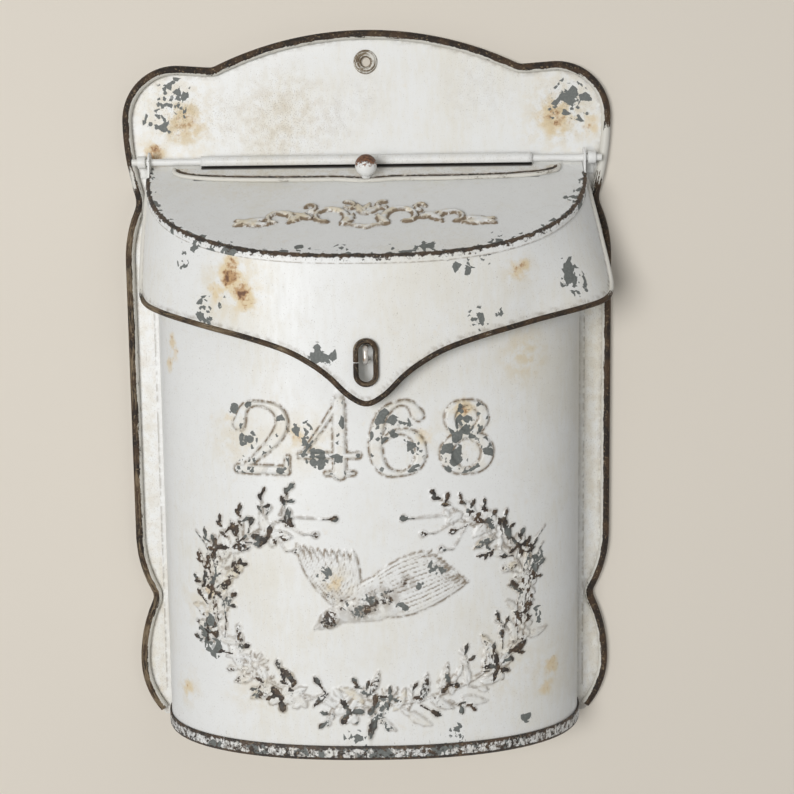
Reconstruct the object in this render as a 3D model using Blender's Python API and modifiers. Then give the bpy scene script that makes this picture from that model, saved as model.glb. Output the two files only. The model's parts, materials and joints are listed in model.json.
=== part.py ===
"""Wall letterbox of painted sheet steel: a shaped back plate, a rounded box with
embossed ornament and numerals, a sloping lid with a deep skirt, and a letter-slot flap.

Metres, +Z up. X runs across, Y runs back to the wall. The back of the plate lies in the
plane Y = 0, and the front of the box faces -Y."""

import math

import bmesh
import bpy
import numpy as np
from mathutils import Matrix, Vector

# Sheet and clearances
SHEET = 0.0008            # thickness of all sheet metal
GAP = 0.0003              # clearance between pieces that lie on each other
RUNNING = 0.00035         # clearance round the hinge rod

# Back plate
PLATE_HALF = 0.130        # half the width at the straight sides
SIDE_TOP = 0.075          # top of the straight sides
SIDE_BOTTOM = -0.075      # bottom of the straight sides
FLANK_RADIUS = 0.067      # sides turning in towards the waists
WAIST_RADIUS = 0.011      # hollow of the upper waist
SHOULDER_RADIUS = 0.140   # flank of the upper lobe
LOBE_RADIUS = 0.029       # round of the upper lobe
LOBE_TOP_LENGTH = 0.0151  # straight run over the upper lobe
HOLLOW_RADIUS = 0.008     # hollow between lobe and arch
FOOT_WAIST_RADIUS = 0.006  # hollow of the lower waist
FOOT_FLANK_RADIUS = 0.081  # flank of the lower lobe
FOOT_LOBE_RADIUS = 0.046  # round of the lower lobe
RIM_RADIUS = 0.0024       # rolled rim
RIM_SETBACK = 0.0001      # rim kept in front of the plate's back face
PLATE_LIFT = 0.0007       # plate's lower edge above the underside of the box

# Hanging eyelet
EYELET_Z = 0.1782
EYELET_HOLE = 0.00245     # radius of the hole
EYELET_BARREL = 0.0034    # outer radius of the barrel
EYELET_FLANGE = 0.00635   # outer radius of the flange
EYELET_HEIGHT = 0.0012    # thickness of the flange

# Box
BODY_HALF = 0.1125        # half width at the plate
BODY_FRONT = 0.0700       # plate's back face to the front of the box
BODY_POWER = 2.3          # roundness of the box in plan
BASE_Z = -0.1783          # underside of the box
BODY_TOP_DROP = 0.0048    # box's upper edge below the lid sheet
FLANGE_WIDTH = 0.0037     # welding flange beside the box
FLANGE_TOP = 0.1140
FLANGE_BOTTOM = -0.1630
BAND_HEIGHT = 0.0080      # turned-up edge of the bottom

# Hinge
HINGE_Y = -0.0085
HINGE_Z = 0.1270
ROD_RADIUS = 0.0018
ROD_CHAMFER = 0.0004
LUG_SHEET = 0.0012
LUG_WIDTH = 0.0042
LUG_STANDOFF = 0.0026     # side of the lid to the middle of each lug
ROD_OVERHANG = 0.0078     # side of the lid to each end of the rod
LUG_CORNER = 0.0016       # inner bend of the lugs
LUG_FOOT = 0.0080         # foot on the plate, below the axis

# Lid
LID_SLOPE = math.radians(31.2)
LID_HALF = 0.1157         # half width of the lid sheet
LUG_CENTRE = LID_HALF + LUG_STANDOFF
ROD_HALF_LENGTH = LID_HALF + ROD_OVERHANG
LID_FRONT = 0.0815        # plate's back face to the front fold
LID_BACK_Y = -0.0010      # back line of the lid's plan
LID_POWER = 2.6           # roundness of the lid in plan
LID_DROP = 0.0033         # lid's upper face below the hinge axis
LID_TAIL = 0.0030         # lid sheet behind the hinge axis
LIP_HEIGHT = 0.0036       # turned-down lip over the skirt
EAR_RADIUS = 0.0052
EAR_ROOT = 0.0045         # ear's foot below the lid sheet
EAR_NOTCH = 0.0100        # lid sheet cut back beside the ears, down the slope from the axis
LETTER_SLOT_HALF = 0.0900
LETTER_SLOT_START = 0.0052  # from the axis, down the slope
LETTER_SLOT_DEPTH = 0.0086

# Skirt: its free edge from the centre of the front outwards, as distance along the front
# and height, and then from the hinge end of the cheek back to meet it
EDGE_FRONT = ((0.0, 0.0074), (0.009, 0.0118), (0.018, 0.0205), (0.027, 0.0272), (0.040, 0.0340),
              (0.060, 0.0402), (0.085, 0.0458))
EDGE_CHEEK = ((0.053, 0.0512), (0.038, 0.0552), (0.0300, 0.0610), (0.0262, 0.0700), (0.0220, 0.0850),
              (0.0160, 0.1040), (0.0125, 0.1150))
SKIRT_BEAD = 0.0014       # radius of the rolled edge
FLARE_LEFT = 0.0055       # how far the cheeks' corners are bent outwards
FLARE_RIGHT = 0.0145
FLARE_DEPTH = 0.0450      # height over which that bend grows
FLARE_START = 0.080       # distance along the front where it begins
FLARE_LENGTH = 0.050

# Lock slot, its wire ring, and the staple that stands through it
LOCK_Z = 0.02765
LOCK_HALF_WIDTH = 0.00355
LOCK_HALF_HEIGHT = 0.00935
RING_RADIUS = 0.0013      # radius of the ring's wire
RING_JOINT = 0.0006       # open joint of the ring
STAPLE_RADIUS = 0.00125   # radius of the staple's wire
STAPLE_Z = 0.0318
STAPLE_HALF = 0.00345     # half the distance between the legs
STAPLE_REACH = 0.0900     # plate's back face to the staple's bar
STAPLE_BEND = 0.0022
STAPLE_CLINCH = 0.0040    # legs bent over inside the box

# Letter-slot flap
FLAP_HALF = 0.1010
FLAP_KNUCKLE_HALF = 0.0870
FLAP_BACK = 0.0034        # back edge beside the knuckle, down the slope from the axis
KNUCKLE_SHEET = 0.0007    # the rolled part is drawn a little thinner than the flap
FLAP_OVERLAP = 0.0015     # knuckle sheet run on under the flap's back edge
FLAP_DEPTH = 0.0170       # front edge, down the slope from the axis
FLAP_POWER = 3.5
FLAP_LOBE = 0.0016        # front edge bulges at the knob
FLAP_LOBE_HALF = 0.0160
FLAP_BEAD = 0.00105       # radius of the rolled front edge

# Knob and its screw
KNOB_RADIUS = 0.00565
KNOB_POSITION = 0.0142    # from the axis, down the slope
KNOB_NECK = 0.0016
KNOB_FOOT = 0.0024
KNOB_STAND = 0.0012       # foot's height under the ball
SCREW_RADIUS = 0.00125
SCREW_HEAD_RADIUS = 0.0026
SCREW_HEAD_HEIGHT = 0.0012
SCREW_DEPTH = 0.0045      # thread inside the ball
SLOT_BAY = 0.0034         # bay of the letter slot round the screw's head

# Embossing
EMBOSS = 0.0013           # height of the raised work
EMBOSS_ROOT = 0.00035     # how deep it starts inside the sheet
DIGITS = "2468"
DIGIT_HEIGHT = 0.0365
DIGIT_WIDTH = 0.0290
DIGIT_PITCH = 0.0345
DIGIT_BASE = -0.0300
DIGIT_MIDDLE = -0.0020
WREATH_Z = -0.0970
WREATH_HALF_WIDTH = 0.0830
WREATH_HALF_HEIGHT = 0.0520
WREATH_OPENING = 30.0     # degrees left open each side of the top
WREATH_LEAVES = 11
STEM_WIDTH = 0.0019
LEAF_LENGTH = 0.0165
LEAF_WIDTH = 0.0060
BLOSSOM_PETAL = 0.0085
BIRD_X = -0.0010
BIRD_Z = -0.0900
BIRD_FEATHERS = 5         # long feathers in each wing
SCROLL_POSITION = 0.0500  # middle of the scrolls, down the slope from the axis

CIRCLE_SIDES = 24
EYELET_SIDES = 20
KNOB_SIDES = 16
PLAN_SEGMENTS = 48

# Paint and metal: base colour, roughness, metallic
FINISHES = {
    "enamel_white": ((0.74, 0.73, 0.70), 0.42, 0.0),
    "worn_edge": ((0.10, 0.075, 0.055), 0.60, 0.3),
    "bare_steel": ((0.55, 0.54, 0.52), 0.35, 0.9),
}


def clear_scene():
    for thing in list(bpy.data.objects):
        bpy.data.objects.remove(thing, do_unlink=True)


def collection(name):
    made = bpy.data.collections.get(name) or bpy.data.collections.new(name)
    if made.name not in bpy.context.scene.collection.children:
        bpy.context.scene.collection.children.link(made)
    return made


def finish(name):
    material = bpy.data.materials.get(name)
    if material is None:
        colour, roughness, metallic = FINISHES[name]
        material = bpy.data.materials.new(name)
        material.use_nodes = True
        shader = material.node_tree.nodes["Principled BSDF"]
        shader.inputs["Base Color"].default_value = (*colour, 1.0)
        shader.inputs["Roughness"].default_value = roughness
        shader.inputs["Metallic"].default_value = metallic
    return material


def add_mesh_object(name, mesh, material=None):
    thing = bpy.data.objects.new(name, mesh)
    collection("letterbox" if material else "cutters").objects.link(thing)
    if material:
        mesh.materials.clear()
        mesh.materials.append(finish(material))
        mesh.shade_smooth()
        mesh.set_sharp_from_angle(angle=math.radians(35))
    else:
        thing.hide_render = True
        thing.display_type = "WIRE"
    return thing


def mesh_from(name, bm, merge=0.00001):
    bmesh.ops.remove_doubles(bm, verts=bm.verts, dist=merge)
    bmesh.ops.recalc_face_normals(bm, faces=bm.faces)
    mesh = bpy.data.meshes.new(name)
    bm.to_mesh(mesh)
    bm.free()
    return mesh


def evaluated_mesh(thing):
    """The object's mesh with its modifiers applied, in world space, and the object removed."""
    bpy.context.view_layer.update()
    ready = thing.evaluated_get(bpy.context.evaluated_depsgraph_get())
    mesh = bpy.data.meshes.new_from_object(ready)
    mesh.transform(thing.matrix_world)
    bm = bmesh.new()
    bm.from_mesh(mesh)
    bmesh.ops.remove_doubles(bm, verts=bm.verts, dist=0.00001)
    bm.to_mesh(mesh)
    bm.free()
    bpy.data.objects.remove(thing, do_unlink=True)
    return mesh


def sheet_mesh(name, rows, thickness, inward):
    """A wall of even thickness behind a surface given as rows of points. The surface is the
    outer face, and the point `inward` lies on the wall's side of it."""
    bm = bmesh.new()
    grid = [[bm.verts.new(point) for point in row] for row in rows]
    for lower, upper in zip(grid, grid[1:]):
        for a, b, c, d in zip(lower, lower[1:], upper[1:], upper):
            bm.faces.new((a, b, c, d))
    bmesh.ops.remove_doubles(bm, verts=bm.verts, dist=0.00001)
    middle = max(bm.faces, key=lambda face: face.calc_area())
    outward = middle.calc_center_median() - Vector(inward)
    if middle.normal.dot(outward) < 0:
        bmesh.ops.reverse_faces(bm, faces=bm.faces)
    mesh = bpy.data.meshes.new(name)
    bm.to_mesh(mesh)
    bm.free()
    thing = add_mesh_object(name + "_surface", mesh)
    wall = thing.modifiers.new("wall", "SOLIDIFY")
    wall.thickness = thickness
    wall.offset = -1.0
    wall.use_even_offset = True
    wall.thickness_clamp = 0.0
    return evaluated_mesh(thing)


def strip_mesh(name, near, far):
    """Faces between two matching rows of points."""
    bm = bmesh.new()
    rows = [[bm.verts.new(point) for point in row] for row in (near, far)]
    for a, b, c, d in zip(rows[0], rows[0][1:], rows[1][1:], rows[1]):
        bm.faces.new((a, b, c, d))
    return mesh_from(name, bm)


def thicken(thing, thickness):
    """Gives a strip its thickness, half of it to each side."""
    wall = thing.modifiers.new("wall", "SOLIDIFY")
    wall.thickness = thickness
    wall.offset = 0.0
    wall.use_even_offset = True
    return thing


def tube_mesh(name, points, radius, resolution=1):
    """A round wire along points, as a bevelled poly curve made into a mesh."""
    curve = bpy.data.curves.new(name, "CURVE")
    curve.dimensions = "3D"
    spline = curve.splines.new("POLY")
    spline.points.add(len(points) - 1)
    for slot, point in zip(spline.points, points):
        slot.co = (*point, 1.0)
    curve.bevel_depth = radius
    curve.bevel_resolution = resolution
    curve.use_fill_caps = True
    thing = bpy.data.objects.new(name, curve)
    collection("cutters").objects.link(thing)
    return evaluated_mesh(thing)


def slab_mesh(name, outline, thickness, matrix):
    """A flat plate of an outline in its own XY plane, centred on that plane, then placed."""
    curve = bpy.data.curves.new(name, "CURVE")
    curve.dimensions = "2D"
    curve.fill_mode = "BOTH"
    spline = curve.splines.new("POLY")
    spline.points.add(len(outline) - 1)
    for slot, (x, y) in zip(spline.points, outline):
        slot.co = (x, y, 0.0, 1.0)
    spline.use_cyclic_u = True
    curve.extrude = thickness / 2
    thing = bpy.data.objects.new(name, curve)
    collection("cutters").objects.link(thing)
    thing.matrix_world = matrix
    return evaluated_mesh(thing)


def cylinder_mesh(name, radius, length, matrix, sides=CIRCLE_SIDES):
    bm = bmesh.new()
    bmesh.ops.create_cone(bm, cap_ends=True, segments=sides, radius1=radius, radius2=radius, depth=length)
    bmesh.ops.transform(bm, matrix=matrix, verts=bm.verts)
    return mesh_from(name, bm)


def box_mesh(name, low, high, matrix=Matrix()):
    bm = bmesh.new()
    bmesh.ops.create_cube(bm, size=1.0)
    low, high = Vector(low), Vector(high)
    size = high - low
    place = Matrix.Translation((low + high) / 2) @ Matrix.Diagonal((*size, 1.0))
    bmesh.ops.transform(bm, matrix=matrix @ place, verts=bm.verts)
    return mesh_from(name, bm)


def combine(thing, mesh, operation, overlapping=False):
    """Union or difference of an object with a mesh, kept as a live modifier."""
    tool = add_mesh_object(thing.name + "_" + mesh.name, mesh)
    step = thing.modifiers.new(mesh.name, "BOOLEAN")
    step.operation = operation
    step.object = tool
    step.solver = "EXACT"
    step.use_self = overlapping
    return thing


def turned(name, profile, material, matrix, sides, closed=False):
    """A turned piece: (radius, height) points spun about local Z, from the axis back to the
    axis, or round a closed section."""
    mesh = bpy.data.meshes.new(name)
    points = [(radius, 0.0, height) for radius, height in profile]
    edges = [(i, i + 1) for i in range(len(points) - 1)]
    if closed:
        edges.append((len(points) - 1, 0))
    mesh.from_pydata(points, edges, [])
    thing = add_mesh_object(name, mesh, material)
    thing.matrix_world = matrix
    spin = thing.modifiers.new("turn", "SCREW")
    spin.axis = "Z"
    spin.steps = sides
    spin.render_steps = sides
    spin.use_merge_vertices = True
    spin.merge_threshold = 0.00001
    return thing


def arc(points, heading, radius, turn, steps):
    """Extends a line of 2D points by an arc. A positive turn bends to the left."""
    x, y = points[-1]
    side = 1.0 if turn > 0 else -1.0
    centre = (x - side * radius * math.sin(heading), y + side * radius * math.cos(heading))
    for step in range(1, steps + 1):
        angle = heading + turn * step / steps
        points.append((centre[0] + side * radius * math.sin(angle),
                       centre[1] - side * radius * math.cos(angle)))
    return heading + turn


def smooth_through(points, steps):
    """A Catmull-Rom curve through points, with `steps` pieces in each stretch."""
    known = np.array(points, dtype=float)
    ends = np.vstack((2 * known[0] - known[1], known, 2 * known[-1] - known[-2]))
    share = np.linspace(0, 1, steps, endpoint=False)[:, None]
    line = []
    for a, b, c, d in zip(ends, ends[1:], ends[2:], ends[3:]):
        line.extend(0.5 * (2 * b + (c - a) * share + (2 * a - 5 * b + 4 * c - d) * share ** 2
                           + (3 * b - 3 * c + d - a) * share ** 3))
    line.append(known[-1])
    return np.array(line)


class Plan:
    """A rounded front seen from above, a half superellipse, read by distance from its middle."""

    def __init__(self, half_width, front, back_y, power):
        angle = np.linspace(0.0, math.pi, 4001)
        x = -half_width * np.sign(np.cos(angle)) * np.abs(np.cos(angle)) ** (2 / power)
        y = back_y - (front + back_y) * np.abs(np.sin(angle)) ** (2 / power)
        self.x, self.y = x, y
        run = np.concatenate(([0.0], np.cumsum(np.hypot(np.diff(x), np.diff(y)))))
        self.half_length = run[-1] / 2
        self.run = run - self.half_length

    def at(self, distance, out=0.0):
        step = 0.0002
        x, y = (float(np.interp(distance, self.run, values)) for values in (self.x, self.y))
        before, after = (
            np.array([np.interp(distance + side * step, self.run, values) for values in (self.x, self.y)])
            for side in (-1, 1))
        tangent = (after - before) / np.linalg.norm(after - before)
        return x + out * tangent[1], y - out * tangent[0]

    def distances(self, count):
        return [self.half_length * (2 * i / count - 1) for i in range(count + 1)]


BODY_PLAN = Plan(BODY_HALF, BODY_FRONT, -(SHEET + GAP), BODY_POWER)
LID_PLAN = Plan(LID_HALF, LID_FRONT, LID_BACK_Y, LID_POWER)
SKIRT_INSET = SHEET + GAP


def lid_frame(across, down, up):
    """A point from lid coordinates: across, down the slope from the hinge axis, and above it."""
    return Vector((
        across,
        HINGE_Y - down * math.cos(LID_SLOPE) - up * math.sin(LID_SLOPE),
        HINGE_Z - down * math.sin(LID_SLOPE) + up * math.cos(LID_SLOPE)))


def lid_matrix(down=0.0, up=0.0):
    """Local X across, local Y up the slope, local Z out of the lid."""
    turn = Matrix.Rotation(LID_SLOPE, 4, "X")
    return Matrix.Translation(lid_frame(0.0, down, up)) @ turn


def lid_height(y, below=0.0):
    """Height of the lid's upper face at a depth y, or of a face below it."""
    return (HINGE_Z - (LID_DROP + below) / math.cos(LID_SLOPE)
            + (y - HINGE_Y) * math.tan(LID_SLOPE))


def plate_edge(stop_z):
    """Right half of the plate's outline, from the middle of the top down to a height."""
    flank, waist, lean, dip, arch_end = (math.radians(a) for a in (24, 40, 16, 4, 25))
    up = [(PLATE_HALF, SIDE_TOP)]
    heading = arc(up, math.radians(90), FLANK_RADIUS, flank, 3)
    heading = arc(up, heading, WAIST_RADIUS, -waist, 3)
    heading = arc(up, heading, SHOULDER_RADIUS, lean, 3)
    heading = arc(up, heading, LOBE_RADIUS, math.radians(90) + dip, 9)
    lobe_end = up[-1]
    up.append((lobe_end[0] + LOBE_TOP_LENGTH * math.cos(heading),
               lobe_end[1] + LOBE_TOP_LENGTH * math.sin(heading)))
    heading = arc(up, heading, HOLLOW_RADIUS, -(dip + arch_end), 3)
    arc(up, heading, up[-1][0] / math.sin(arch_end), arch_end, 7)
    down = [(PLATE_HALF, SIDE_BOTTOM)]
    heading = arc(down, math.radians(-90), FLANK_RADIUS, math.radians(-28), 3)
    heading = arc(down, heading, FOOT_WAIST_RADIUS, math.radians(53), 4)
    heading = arc(down, heading, FOOT_FLANK_RADIUS, math.radians(-25), 3)
    drop = (down[-1][1] - stop_z) / FOOT_LOBE_RADIUS
    arc(down, heading, FOOT_LOBE_RADIUS, -math.asin(min(1.0, drop)), 5)
    return up[::-1] + down


def inset(points, amount):
    """Moves each point of an open line sideways, to the right of its direction of travel."""
    moved = []
    for i, point in enumerate(points):
        before, after = points[max(i - 1, 0)], points[min(i + 1, len(points) - 1)]
        along = Vector((after[0] - before[0], after[1] - before[1])).normalized()
        moved.append((point[0] + amount * along.y, point[1] - amount * along.x))
    return moved


def mirrored(points):
    return [(-x, z) for x, z in reversed(points)] + list(points[1:])


def back_plate():
    bottom = BASE_Z + PLATE_LIFT
    edge = plate_edge(bottom)
    outline = mirrored(edge)
    upright = Matrix.Translation((0, -SHEET / 2, 0)) @ Matrix.Rotation(math.radians(90), 4, "X")
    plate = add_mesh_object("back_plate", slab_mesh("sheet", outline, SHEET, upright), "enamel_white")
    clear_of_band = BODY_HALF + 2 * GAP + SHEET + RIM_RADIUS
    line = [(x, z) for x, z in inset(edge, RIM_RADIUS) if z > 0 or x > clear_of_band]
    rim = [(x, -RIM_RADIUS - RIM_SETBACK, z) for x, z in mirrored(line)]
    combine(plate, tube_mesh("rim", rim, RIM_RADIUS), "UNION", overlapping=True)
    turn = Matrix.Translation((0, 0, EYELET_Z)) @ Matrix.Rotation(math.radians(90), 4, "X")
    combine(plate, cylinder_mesh("eyelet_hole", EYELET_BARREL + GAP, 4 * SHEET, turn), "DIFFERENCE")
    return plate


def hanging_eyelet():
    seat = SHEET + GAP
    top = seat + EYELET_HEIGHT
    soft = EYELET_HEIGHT / 2
    profile = [(EYELET_HOLE, top - soft), (EYELET_HOLE + soft, top), (EYELET_FLANGE - soft, top),
               (EYELET_FLANGE, top - soft), (EYELET_FLANGE, seat), (EYELET_BARREL, seat),
               (EYELET_BARREL, GAP / 2), (EYELET_HOLE, GAP / 2)]
    place = Matrix.Translation((0, 0, EYELET_Z)) @ Matrix.Rotation(math.radians(90), 4, "X")
    return turned("hanging_eyelet", profile, "worn_edge", place, EYELET_SIDES, closed=True)


def hinge_lugs():
    middle = ROD_RADIUS + RUNNING + LUG_SHEET / 2
    plate_y = -(SHEET + GAP + LUG_SHEET / 2)
    line = [(plate_y, HINGE_Z - LUG_FOOT)]
    bend = -HINGE_Y - middle
    corner = min(LUG_CORNER, bend + plate_y + middle)
    line.append((plate_y, HINGE_Z + middle - corner))
    arc(line, math.radians(90), corner, math.radians(90), 4)
    line.append((HINGE_Y, HINGE_Z + middle))
    arc(line, math.radians(180), middle, math.radians(225), 12)
    made = []
    for side, name in ((-1, "hinge_lug_left"), (1, "hinge_lug_right")):
        near, far = ([(side * LUG_CENTRE + end * LUG_WIDTH / 2, y, z) for y, z in line] for end in (-1, 1))
        made.append(thicken(add_mesh_object(name, strip_mesh(name, near, far), "enamel_white"), LUG_SHEET))
    return made


def hinge_rod():
    place = Matrix.Translation((0, HINGE_Y, HINGE_Z)) @ Matrix.Rotation(math.radians(90), 4, "Y")
    mesh = cylinder_mesh("hinge_rod", ROD_RADIUS, 2 * ROD_HALF_LENGTH, Matrix())
    rod = add_mesh_object("hinge_rod", mesh, "enamel_white")
    rod.matrix_world = place
    edge = rod.modifiers.new("ends", "BEVEL")
    edge.width = ROD_CHAMFER
    edge.segments = 1
    edge.limit_method = "ANGLE"
    edge.angle_limit = math.radians(60)
    return rod


def ridge(bm, path, widths, height, place, root):
    """A low ridge with sloping sides along a path on a sheet; `place` lays it on the sheet."""
    path = np.array(path, dtype=float)
    along = np.gradient(path, axis=0)
    along /= np.linalg.norm(along, axis=1)[:, None]
    side = np.stack((-along[:, 1], along[:, 0]), axis=1)
    rings = []
    for point, across, width in zip(path, side, widths):
        half = width / 2
        crown = half * 0.45
        ring = []
        for offset, level in ((-half, -root), (-crown, height), (crown, height), (half, -root)):
            spot = point + across * offset
            ring.append(bm.verts.new(place(spot[0], spot[1], level)))
        rings.append(ring)
    for near, far in zip(rings, rings[1:]):
        for i in range(4):
            j = (i + 1) % 4
            bm.faces.new((near[i], near[j], far[j], far[i]))
    bm.faces.new(rings[0][::-1])
    bm.faces.new(rings[-1])


def digit_strokes(digit):
    """Strokes of one numeral in a unit box: points, and widths as shares of its height."""
    thin, thick = 0.085, 0.20
    ring = [(math.cos(a), math.sin(a)) for a in np.linspace(0.3, 0.3 + 2 * math.pi, 13)]
    if digit == "2":
        return [([(0.10, 0.70), (0.22, 0.93), (0.50, 0.985), (0.80, 0.90), (0.88, 0.70), (0.72, 0.47),
                  (0.42, 0.25), (0.12, 0.07)], (0.20, 0.12, thin, 0.15, thick, 0.17, 0.11, thin)),
                ([(0.06, 0.07), (0.50, 0.07), (0.94, 0.07)], (0.13, 0.15, 0.15)),
                ([(0.94, 0.03), (0.97, 0.25)], (0.12, thin))]
    if digit == "4":
        return [([(0.66, 0.99), (0.36, 0.64), (0.04, 0.29)], (0.12, thin, thin)),
                ([(0.00, 0.28), (0.50, 0.28), (1.00, 0.28)], (0.11, 0.11, 0.11)),
                ([(0.68, 1.00), (0.68, 0.50), (0.68, 0.03)], (thick, thick, thick)),
                ([(0.44, 0.03), (0.68, 0.03), (0.92, 0.03)], (0.07, thin, 0.07))]
    if digit == "6":
        return [([(0.84, 0.82), (0.72, 0.96), (0.50, 0.985), (0.24, 0.84), (0.12, 0.55), (0.13, 0.26),
                  (0.28, 0.06), (0.52, 0.02), (0.78, 0.10), (0.89, 0.31), (0.78, 0.53), (0.52, 0.60),
                  (0.26, 0.50), (0.15, 0.36)],
                 (0.19, 0.12, thin, 0.15, thick, thick, 0.14, thin, 0.13, 0.18, 0.14, thin, thin, thin))]
    upper = [(0.5 + 0.30 * x, 0.765 + 0.205 * y) for x, y in ring]
    lower = [(0.5 + 0.37 * x, 0.275 + 0.245 * y) for x, y in ring]
    swell = [thin + 0.09 * abs(x) for x, y in ring]
    return [(upper, swell), (lower, [width * 1.15 for width in swell])]


def leaf(base, angle, length, width):
    """A pointed leaf as ridge points and widths."""
    bend = 0.22
    path = []
    for t in (0.0, 0.45, 1.0):
        heading = angle + bend * t
        path.append((base[0] + length * t * math.cos(heading), base[1] + length * t * math.sin(heading)))
    return path, (width * 0.25, width, width * 0.12)


def wreath_strokes():
    """Two flowering sprays that rise from the bottom of an oval and leave its top open."""
    strokes = []
    for side in (-1, 1):
        angles = np.radians(np.linspace(-90, 90 - WREATH_OPENING, 4 * WREATH_LEAVES + 1))
        stem = [(side * WREATH_HALF_WIDTH * math.cos(a), WREATH_Z + WREATH_HALF_HEIGHT * math.sin(a))
                for a in angles]
        strokes.append((stem[::3], [STEM_WIDTH] * len(stem[::3])))
        for i in range(WREATH_LEAVES):
            at = 2 + 4 * i
            here, ahead = np.array(stem[at]), np.array(stem[at + 1])
            direction = math.atan2(*(ahead - here)[::-1])
            length = LEAF_LENGTH * (1.0 - 0.25 * i / WREATH_LEAVES) * (1.0 + 0.10 * (i % 3 - 1))
            for turn in (0.72, -0.72):
                strokes.append(leaf(here, direction + turn, length, LEAF_WIDTH))
        for at in (12, 28):
            strokes.extend(blossom(stem[at], 0.4 * at))
    strokes.extend(blossom((0.0, WREATH_Z - WREATH_HALF_HEIGHT), 0.3))
    return strokes


def blossom(centre, turn):
    petals = []
    for k in range(5):
        angle = turn + k * 2 * math.pi / 5
        petals.append(leaf(centre, angle, BLOSSOM_PETAL, BLOSSOM_PETAL * 0.62))
    return petals


def bird_strokes():
    """A swallow in flight: body, two wings of long feathers, and a forked tail."""
    def move(points):
        return [(BIRD_X + x, BIRD_Z + z) for x, z in points]

    body = [(-0.0290, -0.0170), (-0.0235, -0.0150), (-0.0160, -0.0105), (-0.0060, -0.0045),
            (0.0060, 0.0010), (0.0170, 0.0040)]
    strokes = [(move(body), (0.0010, 0.0075, 0.0080, 0.0115, 0.0085, 0.0035))]
    for k in range(BIRD_FEATHERS):
        left = [(-0.0130 + 0.0026 * k, -0.0050 + 0.0012 * k), (-0.0235 + 0.0050 * k, 0.0120 + 0.0016 * k),
                (-0.0350 + 0.0072 * k, 0.0225 + 0.0026 * k)]
        strokes.append((move(left), (0.0016, 0.0042, 0.0008)))
        right = [(0.0010 + 0.0030 * k, 0.0016 + 0.0003 * k), (0.0170 + 0.0024 * k, 0.0165 - 0.0034 * k),
                 (0.0430 - 0.0030 * k, 0.0245 - 0.0046 * k)]
        strokes.append((move(right), (0.0014, 0.0040, 0.0008)))
    for bend in (-0.0045, 0.0035):
        strokes.append((move([(0.0150, 0.0035), (0.0320, 0.0040 + bend), (0.0490, 0.0045 + 2.2 * bend)]),
                        (0.0036, 0.0030, 0.0007)))
    return strokes


def scroll_strokes():
    """Mirrored scrolls with a small palmette, across and down the slope from the axis."""
    strokes = []

    def curl(centre, radius, start, sweep, width):
        angles = start + sweep * np.linspace(0, 1, 9)
        radii = radius * (1.0 - 0.62 * np.linspace(0, 1, 9))
        path = [(centre[0] + r * math.cos(a), centre[1] + r * math.sin(a))
                for a, r in zip(angles, radii)]
        return path, [width * (1.0 - 0.5 * t) for t in np.linspace(0, 1, 9)]

    for side in (-1, 1):
        half = [curl((0.0190, 0.0020), 0.0105, 2.6, 5.2, 0.0026),
                curl((0.0440, 0.0035), 0.0080, 3.0, 4.6, 0.0022),
                curl((0.0090, -0.0085), 0.0042, -1.4, -4.4, 0.0018),
                leaf((0.0500, 0.0040), 0.10, 0.0160, 0.0052),
                leaf((0.0300, -0.0010), 0.55, 0.0120, 0.0040),
                leaf((0.0270, 0.0030), -0.60, 0.0110, 0.0036),
                leaf((0.0360, -0.0010), -0.35, 0.0100, 0.0034)]
        for path, widths in half:
            placed = [(side * x, SCROLL_POSITION + v) for x, v in path]
            strokes.append((placed, widths))
    for angle in (-2.20, -1.57, -0.94):
        strokes.append(leaf((0.0, SCROLL_POSITION - 0.0010), angle, 0.0105, 0.0042))
    strokes.append(([(-0.0090, SCROLL_POSITION + 0.0085), (0.0, SCROLL_POSITION + 0.0110),
                     (0.0090, SCROLL_POSITION + 0.0085)], (0.0010, 0.0030, 0.0010)))
    return strokes


def emboss(thing, name, strokes, place):
    bm = bmesh.new()
    for i, (path, widths) in enumerate(strokes):
        root = EMBOSS_ROOT + 0.000023 * (i % 13)
        ridge(bm, path, widths, EMBOSS - 0.00004 * (i % 7), place, root)
    return combine(thing, mesh_from(name, bm, 0.0000005), "UNION", overlapping=True)


def on_body(distance, z, out):
    x, y = BODY_PLAN.at(distance, out)
    return Vector((x, y, z))


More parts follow.
